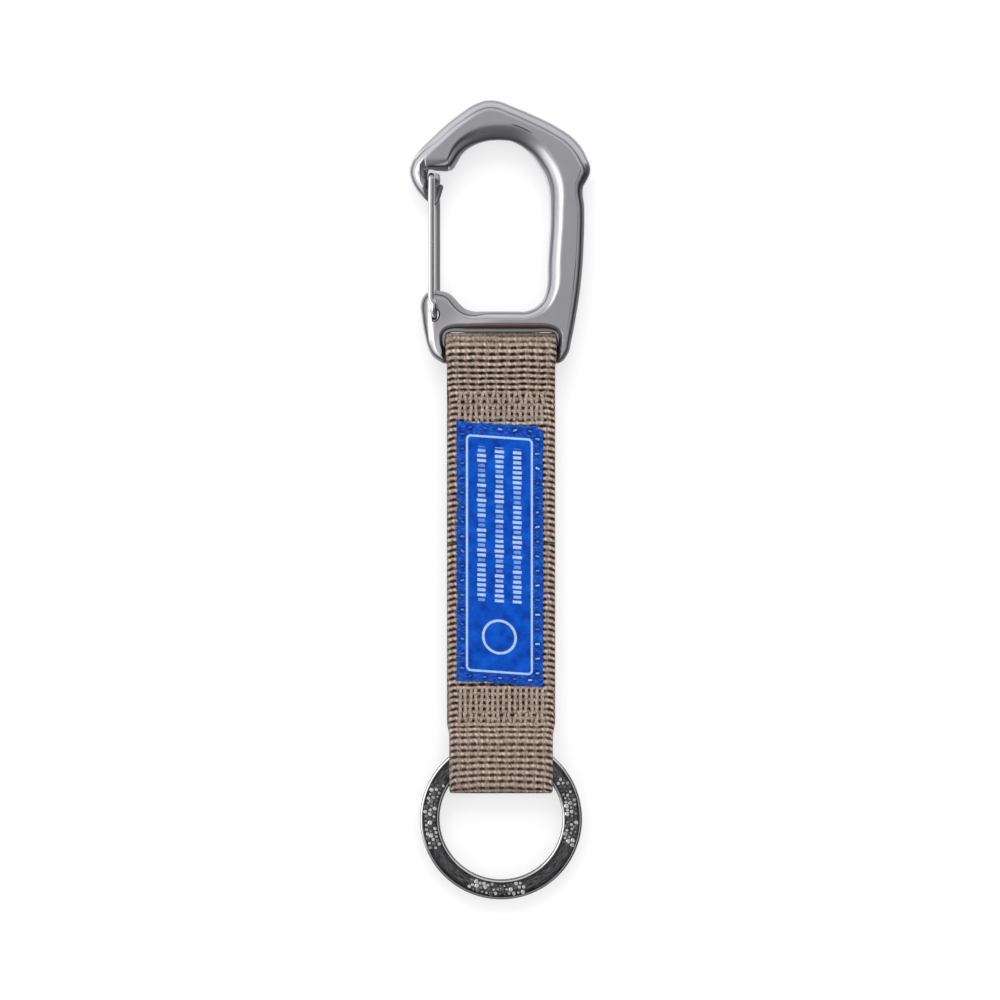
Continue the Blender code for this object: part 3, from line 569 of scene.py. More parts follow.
hook_finish = Shading("satin_nickel")
place = hook_finish.node("ShaderNodeTexCoord", output="Object")
cloud = hook_finish.node("ShaderNodeTexNoise", Scale=150.0, Detail=3.0, Vector=place)
grain = hook_finish.node("ShaderNodeTexNoise", Scale=5500.0, Detail=2.0, Vector=place)
dull = hook_finish.node("ShaderNodeAttribute", {"attribute_name": "dull"}, output="Fac")
satin = hook_finish.mix((0.51, 0.51, 0.55), (0.59, 0.585, 0.62), cloud)
# painted shade darkens the colour and adds roughness at the creases, in the recess and inside the holes
hook_finish.set(Base_Color=hook_finish.mix(satin, (0.06, 0.055, 0.055), dull * 0.85), Metallic=1.0,
                Roughness=0.27 + cloud * 0.08 + grain * 0.06 + dull * 0.1,
                Normal=hook_finish.node("ShaderNodeBump", Strength=0.25, Distance=0.006 * MM, Height=grain))
hook.data.materials.append(hook_finish.material)
hook.data.shade_smooth()
hook.data.set_sharp_from_angle(angle=math.radians(40))
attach(hook, "hook")
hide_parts("hook_body")


# The gate: one length of bright drawn spring wire, bent into a U. Its two legs lie over the nose
# and the foot, and its ends are sprung into the foot's hole, which is its hinge.
WIRE_RADIUS = 0.6 * MM
WIRE_BEND = 0.9 * MM
FOOT_BEND = 2.2 * MM
PIVOT = Vector((-12.194 * MM, 33.866 * MM, MIDDLE_Z))
GATE_RISE = 26.09 * MM
LEG_Z = 2.25 * MM
LEG_SET = 0.5 * MM             # the front leg leans out and the rear leg leans in by this
LEG_SET_RISE = 3.5 * MM
LEG_STEPS = 12
PIN_GAP = 0.2 * MM


def wire_mesh(name, paths, radius, sides=4, cyclic=False, fill=True):
    """Round threads or wires along smooth paths, as one mesh."""
    curve = bpy.data.curves.new(name, "CURVE")
    curve.dimensions = "3D"
    curve.bevel_depth = radius
    curve.bevel_resolution = sides
    curve.use_fill_caps = fill
    for points in paths:
        spline = curve.splines.new("POLY")
        spline.points.add(len(points) - 1)
        for point, place in zip(spline.points, points):
            point.co = (*place, 1)
        spline.use_cyclic_u = cyclic
    item = bpy.data.objects.new(name, curve)
    bpy.context.scene.collection.objects.link(item)
    bpy.context.view_layer.update()
    mesh = bpy.data.meshes.new_from_object(item.evaluated_get(bpy.context.evaluated_depsgraph_get()))
    bpy.data.objects.remove(item)
    bpy.data.curves.remove(curve)
    bm = bmesh.new()
    bm.from_mesh(mesh)
    bmesh.ops.remove_doubles(bm, verts=bm.verts, dist=TINY)
    bmesh.ops.recalc_face_normals(bm, faces=bm.faces)
    bm.to_mesh(mesh)
    bm.free()
    piece = bpy.data.objects.new(name, mesh)
    bpy.context.scene.collection.objects.link(piece)
    piece.data.shade_smooth()
    piece.data.set_sharp_from_angle(angle=math.radians(50))
    return piece


def round_bend(corner, before, after, radius, steps=10):
    """A round bend at a corner between two directions that are square to each other."""
    middle = corner - before * radius + after * radius
    return [middle - after * radius * math.cos(turn) + before * radius * math.sin(turn)
            for turn in (math.pi / 2 * step / steps for step in range(steps + 1))]


up = Vector((0, 1, 0))
half_gates = []
for side in (1, -1):
    out = Vector((0, 0, side))
    lean = Vector((-side * LEG_SET, 0, 0))
    leg = [Vector((0, 0, side * PIN_GAP))]
    leg += round_bend(Vector((0, 0, side * LEG_Z)), out, up, FOOT_BEND)
    leg += [Vector((0, FOOT_BEND + (LEG_SET_RISE - FOOT_BEND) * step / LEG_STEPS, side * LEG_Z))
            + lean * (1 - math.cos(math.pi * step / LEG_STEPS)) / 2 for step in range(1, LEG_STEPS + 1)]
    leg += [point + lean for point in
            round_bend(Vector((0, GATE_RISE, side * LEG_Z)), up, -out, WIRE_BEND)]
    half_gates.append([PIVOT + point for point in leg])
gate = wire_mesh("spring_gate", [half_gates[0] + half_gates[1][::-1]], WIRE_RADIUS, 6)
gate_finish = Shading("bright_spring_wire")
gate_place = gate_finish.node("ShaderNodeTexCoord", output="Object")
# the die leaves fine lines along the wire
drawn = gate_finish.node("ShaderNodeTexNoise", Scale=1.0, Detail=2.0,
                         Vector=gate_finish.node("ShaderNodeMapping", Scale=(9000, 260, 9000),
                                                 Vector=gate_place))
# painted shade: the rear leg, under the front one, is darker, and it is rougher too
height = gate_finish.node("ShaderNodeSeparateXYZ", output="Z", Vector=gate_place)
rear = height.between(MIDDLE_Z + 0.4 * MM, MIDDLE_Z - 0.8 * MM)
wire_color = gate_finish.mix((0.56, 0.56, 0.57), (0.68, 0.68, 0.69), drawn)
gate_finish.set(Base_Color=gate_finish.mix(wire_color, (0.42, 0.41, 0.40), rear), Metallic=1.0,
                Roughness=0.10 + drawn * 0.14 + rear * 0.5)
gate.data.materials.append(gate_finish.material)
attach(gate, "gate")
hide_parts("gate_wire")


# The strap: one strip of coarse ribbed webbing, folded round the hook's bar and round the ring, and
# sewn together in between. Its two raw ends meet under the label. It's woven, with thick ribs across
# it that the binding yarns cut into short blocks, and its edges are turned and tight.
WEBBING_WIDTH = 20 * MM
WEBBING_THICKNESS = 1.1 * MM
STRAP_X = 0.2 * MM
BAR_Y = 26.713 * MM
BEND_Y = -41.887 * MM
RING_LEAN = math.radians(3.117)
SEAM_DROP = 6.55 * MM          # from the bar's axis to where the two layers meet
TOP_RISE, TOP_HALF = 3.84 * MM, 2.3 * MM       # the upper fold's middle line, past the bar's axis
FOLD_DROP, FOLD_HALF = 10.1 * MM, 1.9 * MM     # the lower fold's, past the bend
MOUTH_RUN = 3.0 * MM           # past the bend, where the lower loop has opened to its full thickness
BUTT_Y = -8 * MM               # where the strip's two ends meet, under the label
BUTT_GAP = 0.3 * MM
SKIN = 0.03 * MM               # between the two layers where they lie on each other
RIB_PITCH = 1.13 * MM
RIB_HEIGHT = 0.42 * MM
BLOCK_WIDTH = 1.85 * MM
RIB_LAG, LAG_WIDTH = 0.42 * MM, 1.5 * MM       # how far the ribs lag at the edges, and how wide that is
RIB_BOW, BOW_REACH = 0.5 * MM, (-46 * MM, -52 * MM)     # the lowest ribs bow, in full past the second Y
RIB_WANDER = 0.12 * MM
STEP_ALONG = RIB_PITCH / 7
ACROSS_OUT, ACROSS_IN = 72, 8
CROWDING = 0.3                 # how much closer the mesh's columns are at the strip's edges
EDGE_ROUND = 0.5 * MM
NARROWING = 0.45 * MM          # how far each side draws in towards the ring
PINCH = 0.25 * MM              # how far each side draws in at the seams, and stands out at the bar
STITCHED = ((BAR_Y - 11.9 * MM, BAR_Y - 6.5 * MM), (BAR_Y - 67.8 * MM, BAR_Y - 61.3 * MM))
STITCH_FADE = 0.6 * MM


def strip_path():
    """The strip's middle line seen from the side, as (Y, Z), from one raw end to the other."""
    half = WEBBING_THICKNESS / 2
    quarter = [math.pi / 2 * step / 24 for step in range(25)]
    top = [(BAR_Y - SEAM_DROP * (1 - turn / quarter[-1]),
            half + (TOP_HALF - half) * eased(turn / quarter[-1])) for turn in quarter[:-1]]
    top += [(BAR_Y + TOP_RISE * math.sin(turn), TOP_HALF * math.cos(turn)) for turn in quarter]
    low = [(-MOUTH_RUN * turn / quarter[-1], half + (FOLD_HALF - half) * eased(turn / quarter[-1]))
           for turn in quarter]
    low += [(-FOLD_DROP - FOLD_HALF * math.sin(turn), FOLD_HALF * math.cos(turn)) for turn in quarter]
    cos, sin = math.cos(RING_LEAN), math.sin(RING_LEAN)
    lower = [(BEND_Y + y * cos - z * sin, y * sin + z * cos)
             for y, z in [(y, -z) for y, z in low] + low[-2::-1]]
    return ([(BUTT_Y + BUTT_GAP / 2, half)] + top + [(y, -z) for y, z in top[-2::-1]] + lower
            + [(BUTT_Y - BUTT_GAP / 2, half)])


strip = respaced([Vector((0, y, z)) for y, z in strip_path()], STEP_ALONG, cyclic=False)
strip_length = sum((after - before).length for before, after in zip(strip, strip[1:]))


def weave_place(across, along, here):
    """Where a place on the strip lies in the weave, counted in blocks across it and ribs along it."""
    half = WEBBING_WIDTH / 2
    edge = max(abs(across) - (half - LAG_WIDTH), 0) / LAG_WIDTH
    rib = (along + RIB_LAG * edge * edge * (1 if here.z > 0 else -1)
           + RIB_BOW * ramp(here.y, *BOW_REACH) * (across / half) ** 2
           + RIB_WANDER * noise.noise(Vector((across / (3 * MM), along / (5 * MM), 2.0)))) / RIB_PITCH
    block = (across + half) / BLOCK_WIDTH + 0.3 * noise.noise(Vector((across / (5 * MM), rib * 0.45, 7.3)))
    return block, rib


def rib_relief(block, rib):
    """The weave's height, from 0 in a gap to 1 on a rib's crest."""
    rise = abs(rib - math.floor(rib) - 0.5) * 2
    swell = abs(block - math.floor(block) - 0.5) * 2
    nub = math.cos(math.tau * (block * 2 + (rib - math.floor(rib) - 0.5) * 0.45 + 0.5))
    crest = max(1 - (rise / 0.84) ** 2, 0) ** 0.7 * (0.94 + 0.06 * nub)
    bridge = 0.74 * max(1 - ((1 - swell) / 0.62) ** 3, 0)
    return max(crest, bridge)


def stitched_down(here):
    """How far the seams' threads press the weave down, from 0 to 1."""
    if here.z < 0:
        return 0
    return max(eased((here.y - low) / STITCH_FADE) * eased((high - here.y) / STITCH_FADE)
               for low, high in STITCHED)


around = ACROSS_OUT + ACROSS_IN
bm = bmesh.new()
bmesh.ops.create_grid(bm, x_segments=around, y_segments=len(strip) - 1, size=0.5)
weave_layer = bm.verts.layers.float_vector.new("weave")
place_layer = bm.verts.layers.float_vector.new("strip_place")
half_width, half_thick = WEBBING_WIDTH / 2, WEBBING_THICKNESS / 2
for vert in bm.verts:
    column = round((vert.co.x + 0.5) * around)
    row = round((vert.co.y + 0.5) * (len(strip) - 1))
    outside = column <= ACROSS_OUT
    share = column / ACROSS_OUT if outside else (around - column) / ACROSS_IN
    here = strip[row]
    along = (strip[min(row + 1, len(strip) - 1)] - strip[max(row - 1, 0)]).normalized()
    normal = Vector((0, -along.z, along.y))
    across = ((share * 2 - 1) * (1 - CROWDING) + CROWDING * math.sin(math.pi * (share - 0.5))) * half_width
    narrow = NARROWING * ramp(here.y, BEND_Y + 1 * MM, BEND_Y - 2 * MM)
    press = stitched_down(here)
    pinch = PINCH * press - PINCH * ramp(here.y, 24 * MM, 28 * MM)
    edge = max(abs(across) - (half_width - EDGE_ROUND), 0) / EDGE_ROUND
    lift = math.sqrt(max(1 - edge * edge, 0))
    block, rib = weave_place(across, row * STEP_ALONG, here)
    height = rib_relief(block, rib) if outside else 0.3
    under_thread = press * ramp(abs(across), 8.6 * MM, 7.8 * MM)
    fold_shade = 0.9 * ramp(here.y, -53.0 * MM, -54.1 * MM)
    # the weave is flatter over the bar, under the threads, near the ring and at the edges
    flat = max(0.85 * ramp(here.y, BAR_Y, BAR_Y + 3.4 * MM), 0.3 * under_thread,
               0.38 * ramp(here.y, -39 * MM, -42 * MM), 0.25 * eased(abs(across) / MM - 8),
               0 if outside else 1)
    height += (0.7 - height) * flat
    wave = 0.12 * MM * max(height - 0.5, 0) * edge * (1 if across > 0 else -1)
    offset = (half_thick + RIB_HEIGHT * (height - 1)) * lift if outside else -(half_thick - SKIN) * lift
    place = here + normal * offset
    vert.co = (STRAP_X + across * (1 - (narrow + pinch) / half_width) + wave, place.y, MIDDLE_Z + place.z)
    vert[weave_layer] = (block, rib, flat)
    # the third value is painted shade, under the tack threads and at the end of the lower fold
    vert[place_layer] = (across, row * STEP_ALONG, max(under_thread, fold_shade) * MM)
webbing_mesh = bpy.data.meshes.new("webbing_strip")
bmesh.ops.remove_doubles(bm, verts=bm.verts, dist=TINY)
bmesh.ops.holes_fill(bm, edges=[e for e in bm.edges if e.is_boundary])
bmesh.ops.recalc_face_normals(bm, faces=bm.faces)
bm.to_mesh(webbing_mesh)
bm.free()
webbing = bpy.data.objects.new("webbing_strip", webbing_mesh)
bpy.context.scene.collection.objects.link(webbing)
webbing.data.shade_smooth()

webbing_finish = Shading("beige_webbing")
weave = webbing_finish.node("ShaderNodeAttribute", {"attribute_name": "weave"}, output="Vector")
block, rib, flat = (webbing_finish.node("ShaderNodeSeparateXYZ", output=axis, Vector=weave) for axis in "XYZ")
strip_place = webbing_finish.node("ShaderNodeAttribute", {"attribute_name": "strip_place"}, output="Vector")
rise, swell = rib.swing(), block.swing()
# between two ribs, the hole in the middle of each block is painted dark as shade, with brown yarn at its ends
gap = rise.between(0.30, 0.72) * (1 - swell.between(0.34, 0.75) * 0.66) * (1 - flat * 0.95)
# painted shade under the tack threads and at the end of the lower fold
under_thread = webbing_finish.node("ShaderNodeSeparateXYZ", output="Z", Vector=strip_place) / MM
# fine yarns lie along the strip in each block, a few tenths of a millimetre apart
yarns = webbing_finish.node("ShaderNodeTexNoise", Scale=1.0, Detail=3.0, Roughness=0.62,
                            Vector=webbing_finish.node("ShaderNodeMapping", Vector=strip_place,
                                                       Scale=(2900, 1500, 1)))
blotch = webbing_finish.node("ShaderNodeTexNoise", Scale=220.0, Detail=2.0, Vector=strip_place)
flecks = webbing_finish.node("ShaderNodeTexNoise", Scale=1500.0, Detail=1.0, Vector=strip_place)
# a rib's crest bunches into slanting nubs, two to a block; painted highlight lightens the crests and some
# nubs
nub = (block * 2 + (rib.math("FRACT") - 0.5) * 0.45 + (blotch - 0.5) * 0.8).swing().between(0.95, 0.1)
crest = (1 - rise * rise) * (0.55 + nub * flecks.between(0.35, 0.65) * 0.75)
yarn = webbing_finish.node("ShaderNodeValToRGB", {"stops": (
    (0.0, (0.014, 0.007, 0.005)), (0.28, (0.065, 0.040, 0.030)), (0.5, (0.23, 0.165, 0.130)),
    (0.75, (0.47, 0.375, 0.315)), (1.0, (0.76, 0.66, 0.585)))},
    Fac=0.45 + crest * 0.43 * (1 - flat * 0.5) + flat * 0.02 - gap * (blotch * 0.6 + 0.2)
    + (yarns - 0.5) * 0.85 + (blotch - 0.5) * 0.15 - under_thread * 0.16)
yarn_relief = webbing_finish.node("ShaderNodeBump", Strength=0.6, Distance=0.08 * MM, Height=yarns)
webbing_finish.set(Base_Color=yarn, Roughness=0.85, Specular_IOR_Level=0.2, Sheen_Weight=0.1,
                   Normal=yarn_relief)
webbing.data.materials.append(webbing_finish.material)
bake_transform(webbing)
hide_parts("strap_webbing", "ring_loop_webbing")


# The label: one blue woven patch, sewn flat on the front layer, and a little askew. A pale frame
# line, three columns of plain dashes and a circle are woven in. Each stitch pulls its edge down and in.
LABEL_WIDTH = 16.2 * MM
LABEL_LENGTH = 48.3 * MM
LABEL_X = 0.0
LABEL_Y = BAR_Y - 12.5 * MM - LABEL_LENGTH / 2
LABEL_Z = MIDDLE_Z + 1.2 * MM
LABEL_THICKNESS = 0.3 * MM
LABEL_SKEW = -0.07             # its right side lies lower than its left
FRAME_MIDDLE = (-0.11, -0.2)   # in mm from the label's middle, like all sizes of the pattern
FRAME_HALF = (6.0, 21.7)
FRAME_CORNER = 0.75
FRAME_LINE_HALF = 0.19
DASH_COLUMN, DASH_PITCH, DASH_HALF = 3.3, 0.92, (0.62, 0.27)
DASH_ENDS = (19.6, -9.0)
CIRCLE_MIDDLE, CIRCLE_RADIUS = (-0.11, -15.4), 3.0
CORNER_CUT = 1.1 * MM          # the corner at the top right is turned under
SEAM_INSET = 1.15 * MM
SEAM_PITCH = 2.76 * MM
EDGE_PULL_WIDTH = 1.5 * MM     # only the edges this close are drawn in


def seam_stitches():
    """The middle of each stitch round the label."""
    half_x, half_y = LABEL_WIDTH / 2 - SEAM_INSET, LABEL_LENGTH / 2 - SEAM_INSET
    corners = [Vector((-half_x, -half_y, 0)), Vector((half_x, -half_y, 0)), Vector((half_x, half_y, 0)),
               Vector((-half_x, half_y, 0))]
    found = []
    for number, corner in enumerate(corners):
        run = corners[(number + 1) % 4] - corner
        count = round(run.length / SEAM_PITCH)
        found += [corner + run * (step + 0.5) / count for step in range(count)]
    return found


def frame_distance(x, y):
    """Distance in mm from the frame line, with inside negative."""
    over = [abs(value - middle) - half + FRAME_CORNER
            for value, middle, half in zip((x, y), FRAME_MIDDLE, FRAME_HALF)]
    return math.hypot(max(over[0], 0), max(over[1], 0)) + min(max(over), 0) - FRAME_CORNER


stitch_tree = KDTree(200)
for spot in seam_stitches():
    stitch_tree.insert(spot, 0)
stitch_tree.balance()

bm = bmesh.new()
bmesh.ops.create_grid(bm, x_segments=108, y_segments=320, size=0.5)
bmesh.ops.scale(bm, vec=(LABEL_WIDTH, LABEL_LENGTH, 1), verts=bm.verts)
place_layer = bm.verts.layers.float_vector.new("label_place")
for vert in bm.verts:
    x, y = vert.co.x, vert.co.y
    edge = min(LABEL_WIDTH / 2 - abs(x), LABEL_LENGTH / 2 - abs(y))
    dip = math.exp(-(stitch_tree.find(vert.co)[2] / (0.75 * MM)) ** 2)
    rim = math.exp(-edge / (0.7 * MM))
    line = 1 - eased((abs(frame_distance(x / MM, y / MM)) - FRAME_LINE_HALF) / 0.15)
    height = (LABEL_THICKNESS - 0.04 * MM - max(1 - edge / (0.4 * MM), 0) ** 2 * 0.12 * MM
              + 0.04 * MM * math.sin(math.tau * y / (RIB_PITCH * 2)) * rim
              + 0.08 * MM * noise.noise(vert.co / (3.5 * MM)) + 0.05 * MM * line - 0.16 * MM * dip)
    pull = rim * (0.3 * MM * dip + 0.42 * MM * noise.noise(vert.co / (1.9 * MM))
                  + 0.3 * MM * noise.noise(vert.co / MM))
    cut = max(x + y - (LABEL_WIDTH + LABEL_LENGTH) / 2 + CORNER_CUT, 0) / 2
    vert[place_layer] = (x / MM, y / MM, dip)
    pull_x = math.copysign(pull, x) * (LABEL_WIDTH / 2 - abs(x) < EDGE_PULL_WIDTH)
    pull_y = math.copysign(pull, y) * (LABEL_LENGTH / 2 - abs(y) < EDGE_PULL_WIDTH)
    vert.co = (x - pull_x - cut, y + LABEL_SKEW * x - pull_y - cut, height)
skirt = bmesh.ops.extrude_edge_only(bm, edges=[e for e in bm.edges if e.is_boundary])["geom"]
for item in skirt:
    if isinstance(item, bmesh.types.BMVert):
        item.co.z = -0.1 * MM
bmesh.ops.holes_fill(bm, edges=[e for e in bm.edges if e.is_boundary])
bmesh.ops.translate(bm, vec=(LABEL_X, LABEL_Y, LABEL_Z), verts=bm.verts)
bmesh.ops.recalc_face_normals(bm, faces=bm.faces)
label_mesh = bpy.data.meshes.new("woven_label")
bm.to_mesh(label_mesh)
bm.free()
label = bpy.data.objects.new("woven_label", label_mesh)
bpy.context.scene.collection.objects.link(label)
label.data.shade_smooth()
label.data.set_sharp_from_angle(angle=math.radians(60))

label_finish = Shading("blue_woven_patch")
label_place = label_finish.node("ShaderNodeAttribute", {"attribute_name": "label_place"}, output="Vector")
x, y, dip = (label_finish.node("ShaderNodeSeparateXYZ", output=axis, Vector=label_place) for axis in "XYZ")
# the frame line, as the distance from a rectangle with round corners
over_x = (x - FRAME_MIDDLE[0]).math("ABSOLUTE") - (FRAME_HALF[0] - FRAME_CORNER)
over_y = (y - FRAME_MIDDLE[1]).math("ABSOLUTE") - (FRAME_HALF[1] - FRAME_CORNER)
out_x, out_y = over_x.math("MAXIMUM", 0.0), over_y.math("MAXIMUM", 0.0)
frame_away = ((out_x * out_x + out_y * out_y).math("SQRT")
              + over_x.math("MAXIMUM", over_y).math("MINIMUM", 0.0) - FRAME_CORNER)
thread_noise = label_finish.node("ShaderNodeTexNoise", Scale=1.0, Detail=2.0, Roughness=0.6,
                                 Vector=label_finish.node("ShaderNodeMapping", Vector=label_place,
                                                          Scale=(1.4, 3.4, 0)))
line = frame_away.math("ABSOLUTE").between(FRAME_LINE_HALF + 0.08, FRAME_LINE_HALF - 0.07)
# three columns of plain dashes, some wider than others, and one circle
column = (x - FRAME_MIDDLE[0]) / DASH_COLUMN + 1.5
dash_number = (y / DASH_PITCH).math("FLOOR")
dash_place = label_finish.node("ShaderNodeCombineXYZ", X=column.math("FLOOR"), Y=dash_number)
uneven = label_finish.node("ShaderNodeTexWhiteNoise", {"noise_dimensions": "2D"}, output="Value",
                           Vector=dash_place)
side = ((column.math("FRACT") - 0.5) * DASH_COLUMN).math("ABSOLUTE") - uneven * 0.25
dashes = (side.between(DASH_HALF[0] + 0.08, DASH_HALF[0] - 0.1)
          * ((y / DASH_PITCH).swing() * (DASH_PITCH / 2)).between(DASH_HALF[1] + 0.07, DASH_HALF[1] - 0.07)
          * (uneven * 1.1 + 0.35).clamped()
          * y.between(DASH_ENDS[1] - 0.1, DASH_ENDS[1] + 0.1)
          * y.between(DASH_ENDS[0] + 0.1, DASH_ENDS[0] - 0.1)
          * column.between(-0.01, 0.01) * column.between(3.01, 2.99))
circle_x, circle_y = x - CIRCLE_MIDDLE[0], y - CIRCLE_MIDDLE[1]
circle_away = (circle_x * circle_x + circle_y * circle_y).math("SQRT") - CIRCLE_RADIUS
circle = circle_away.math("ABSOLUTE").between(0.3, 0.16)
cloud = label_finish.node("ShaderNodeTexNoise", Scale=0.42, Detail=3.0, Vector=label_place)
ground = label_finish.mix((0.001, 0.040, 0.34), (0.004, 0.115, 0.68),
                          ((cloud - 0.5) * 2.2 + 0.5 + (thread_noise - 0.5) * 0.7).clamped())
ground = label_finish.mix(ground, (0.002, 0.030, 0.26), frame_away.between(0.1, 0.6) * 0.18)
ground = label_finish.mix(ground, (0.10, 0.24, 0.62),
                          frame_away.between(0.1, 0.6) * thread_noise.between(0.48, 0.68) * 0.45)
# painted shade darkens the dimples round the stitches
ground = label_finish.mix(ground, (0.002, 0.010, 0.12), dip * 0.7)
woven = label_finish.mix(ground, (0.45, 0.66, 0.98), line * (0.92 + (thread_noise - 0.5) * 0.8).clamped())
woven = label_finish.mix(woven, (0.50, 0.70, 1.0),
                         (dashes + circle).clamped() * (0.88 + (thread_noise - 0.5) * 1.4).clamped())
thread_relief = label_finish.node("ShaderNodeBump", Strength=0.5, Distance=0.05 * MM, Height=thread_noise)
label_finish.set(Base_Color=woven, Roughness=0.6, Specular_IOR_Level=0.06, Normal=thread_relief)
label.data.materials.append(label_finish.material)
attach(label, "strap")
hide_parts("label_patch")


# The label's thread: one running stitch round the patch. Only a short knot of each stitch shows, as
# the rest is pulled down between the label's yarns.
SEAM_RADIUS = 0.19 * MM
SEAM_SHOWS = 0.5 * MM
SEAM_STEPS = 6

stitches = []
for number, spot in enumerate(seam_stitches()):
    turn = Matrix.Rotation(0.9 * noise.noise(Vector((number * 1.9, 0.4, 3.3))), 3, "Z")
    uneven = noise.noise(Vector((number * 2.7, 5.4, 1.3)))
    half_stitch = turn @ Vector((SEAM_SHOWS / 2, 0, 0)) * (1 + 0.8 * uneven)
    stitch = []
    for part in range(SEAM_STEPS + 1):
        share = part / SEAM_STEPS
        point = spot + half_stitch * (share * 2 - 1)
        height = LABEL_THICKNESS - 0.17 * MM + 0.20 * MM * math.sin(math.pi * share)
        stitch.append(Vector((LABEL_X + point.x, LABEL_Y + point.y + LABEL_SKEW * point.x, LABEL_Z + height)))
    stitches.append(stitch)
seam = wire_mesh("label_thread", stitches, SEAM_RADIUS, 3)
seam_finish = Shading("blue_thread")
seam_place = seam_finish.node("ShaderNodeTexCoord", output="Object")
ply = seam_finish.node("ShaderNodeTexNoise", Scale=3800.0, Detail=1.0, Vector=seam_place)
# some stitches catch the light, more of them on the right
caught = seam_finish.node("ShaderNodeTexNoise", Scale=330.0, Detail=0.0, Vector=seam_place)
right = seam_finish.node("ShaderNodeSeparateXYZ", output="X", Vector=seam_place).between(-8 * MM, 8 * MM)
light = (caught.between(0.35, 0.62) * 0.75 + ply.between(0.3, 0.7) * 0.25) * (0.3 + right * 0.7)
seam_finish.set(Base_Color=seam_finish.mix((0.012, 0.10, 0.50), (0.42, 0.68, 1.0), light),
                Roughness=0.55, Specular_IOR_Level=0.25)
seam.data.materials.append(seam_finish.material)
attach(seam, "strap")
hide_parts("label_stitching")


# The tacks: four rows of upright stitches in beige thread that hold the strip's layers together.
# Each row is one thread, which goes up and down in slightly slanting, flattened stitches.
TACK_PITCH = 1.02 * MM
TACK_COUNT = 16
TACK_RADIUS = 0.3 * MM
TACK_FLATNESS = 0.6
TACK_Z = MIDDLE_Z + 1.02 * MM
TACK_SINK = 0.3 * MM
TACK_STEPS = 12
# name, where it starts below the bar's axis, how tall it is, and how far its stitches slant, in mm
TACK_ROWS = (("upper_tack_short", 6.75, 2.1, 0.42), ("upper_tack_tall", 9.15, 2.75, 0.14),
             ("lower_tack_tall", 61.4, 4.75, 0.16), ("lower_tack_short", 66.3, 1.4, 0.3))
thread_finish = Shading("beige_thread")
thread_place = thread_finish.node("ShaderNodeTexCoord", output="Object")
fuzz = thread_finish.node("ShaderNodeTexNoise", Scale=2600.0, Detail=3.0, Roughness=0.6, Vector=thread_place)
plies = thread_finish.node("ShaderNodeTexWave", {"bands_direction": "DIAGONAL"}, Scale=1500.0, Distortion=1.0,
                           Detail=1.0, Vector=thread_place)
thread_finish.set(Base_Color=thread_finish.node("ShaderNodeValToRGB", {"stops": (
    (0.25, (0.12, 0.084, 0.064)), (0.48, (0.40, 0.32, 0.268)), (0.75, (0.66, 0.565, 0.49)))},
    Fac=fuzz + (plies - 0.5) * 0.16), Roughness=0.8, Specular_IOR_Level=0.2,
    Normal=thread_finish.node("ShaderNodeBump", Strength=0.7, Distance=0.06 * MM, Height=plies))
for name, drop, tall, slant in TACK_ROWS:
    threads = []
    for number in range(TACK_COUNT):
        jitter = [noise.noise(Vector((number * 1.37, drop, seed))) for seed in (0.5, 3.5, 6.5, 9.5)]
        x = STRAP_X + (number - (TACK_COUNT - 1) / 2) * TACK_PITCH + 0.16 * MM * jitter[0]
        lean = (slant if number % 2 else -slant) * MM + 0.25 * MM * jitter[1]
        begin = BAR_Y - drop * MM + 0.35 * MM * jitter[2]
        reach = tall * MM * (1 + 0.12 * jitter[3])
        threads.append([Vector((x + lean * (share - 0.5), begin - reach * share,
                                TACK_Z - TACK_SINK * abs(share * 2 - 1) ** 6))
                        for share in (part / TACK_STEPS for part in range(TACK_STEPS + 1))])
    tack = wire_mesh(name.replace("tack", "stitches"), threads, TACK_RADIUS, 3)
    tack.data.transform(Matrix.Translation((0, 0, TACK_Z)) @ Matrix.Scale(TACK_FLATNESS, 4, (0, 0, 1))
                        @ Matrix.Translation((0, 0, -TACK_Z)))
    tack.data.materials.append(thread_finish.material)
    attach(tack, "strap")
    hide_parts(name)


# The key ring: a flat split ring of two coils, stamped from steel and plated in black nickel, which
# is worn off its edges. The step from one coil to the other lies inside the webbing. Three fields of
# small raised beads are stamped on its face.
RING_RADIUS = 15.0 * MM
RING_FACE = 3.6 * MM
COIL_THICKNESS = 1.05 * MM
COIL_GAP = 0.1 * MM
COIL_EDGE = 0.36 * MM
CLIMB_RUN = 10 * MM            # how far round the ring the step from one coil to the other goes
END_TURN = 0.03                # the gap, in radians, between a coil's end and the step
RING_DROP = 17.174 * MM
BEAD_RADIUS = 0.36 * MM
BEAD_HEIGHT = 0.12 * MM
BEAD_SINK = 0.01 * MM
BEAD_PITCH = 0.8 * MM
BEAD_ROWS = (-0.8, -0.03, 0.76)                # in mm from the middle of the face
BEAD_ZONES = ((150, 205), (245, 290), (-20, 35))   # in degrees round the ring

middle_radius = RING_RADIUS - RING_FACE / 2
step_angle = CLIMB_RUN / middle_radius
bm = bmesh.new()
worn_layer = bm.verts.layers.float.new("worn")
bmesh.ops.create_grid(bm, x_segments=1, y_segments=1, size=0.5)
bmesh.ops.scale(bm, vec=(RING_FACE, COIL_THICKNESS, 1), verts=bm.verts)
bmesh.ops.rotate(bm, matrix=Matrix.Rotation(math.pi / 2, 3, "X"), verts=bm.verts)
bmesh.ops.bevel(bm, geom=bm.verts[:], offset=COIL_EDGE, offset_type="OFFSET", segments=4, profile=0.5,
                affect="VERTICES", material=-1)
bmesh.ops.translate(bm, vec=(middle_radius, 0, -(COIL_THICKNESS + COIL_GAP) / 2), verts=bm.verts)
start = math.pi / 2 + step_angle / 2
bmesh.ops.rotate(bm, matrix=Matrix.Rotation(start + END_TURN, 3, "Z"), verts=bm.verts)
section = bm.faces[:] + bm.edges[:] + bm.verts[:]
flat_turn = math.tau - step_angle - END_TURN
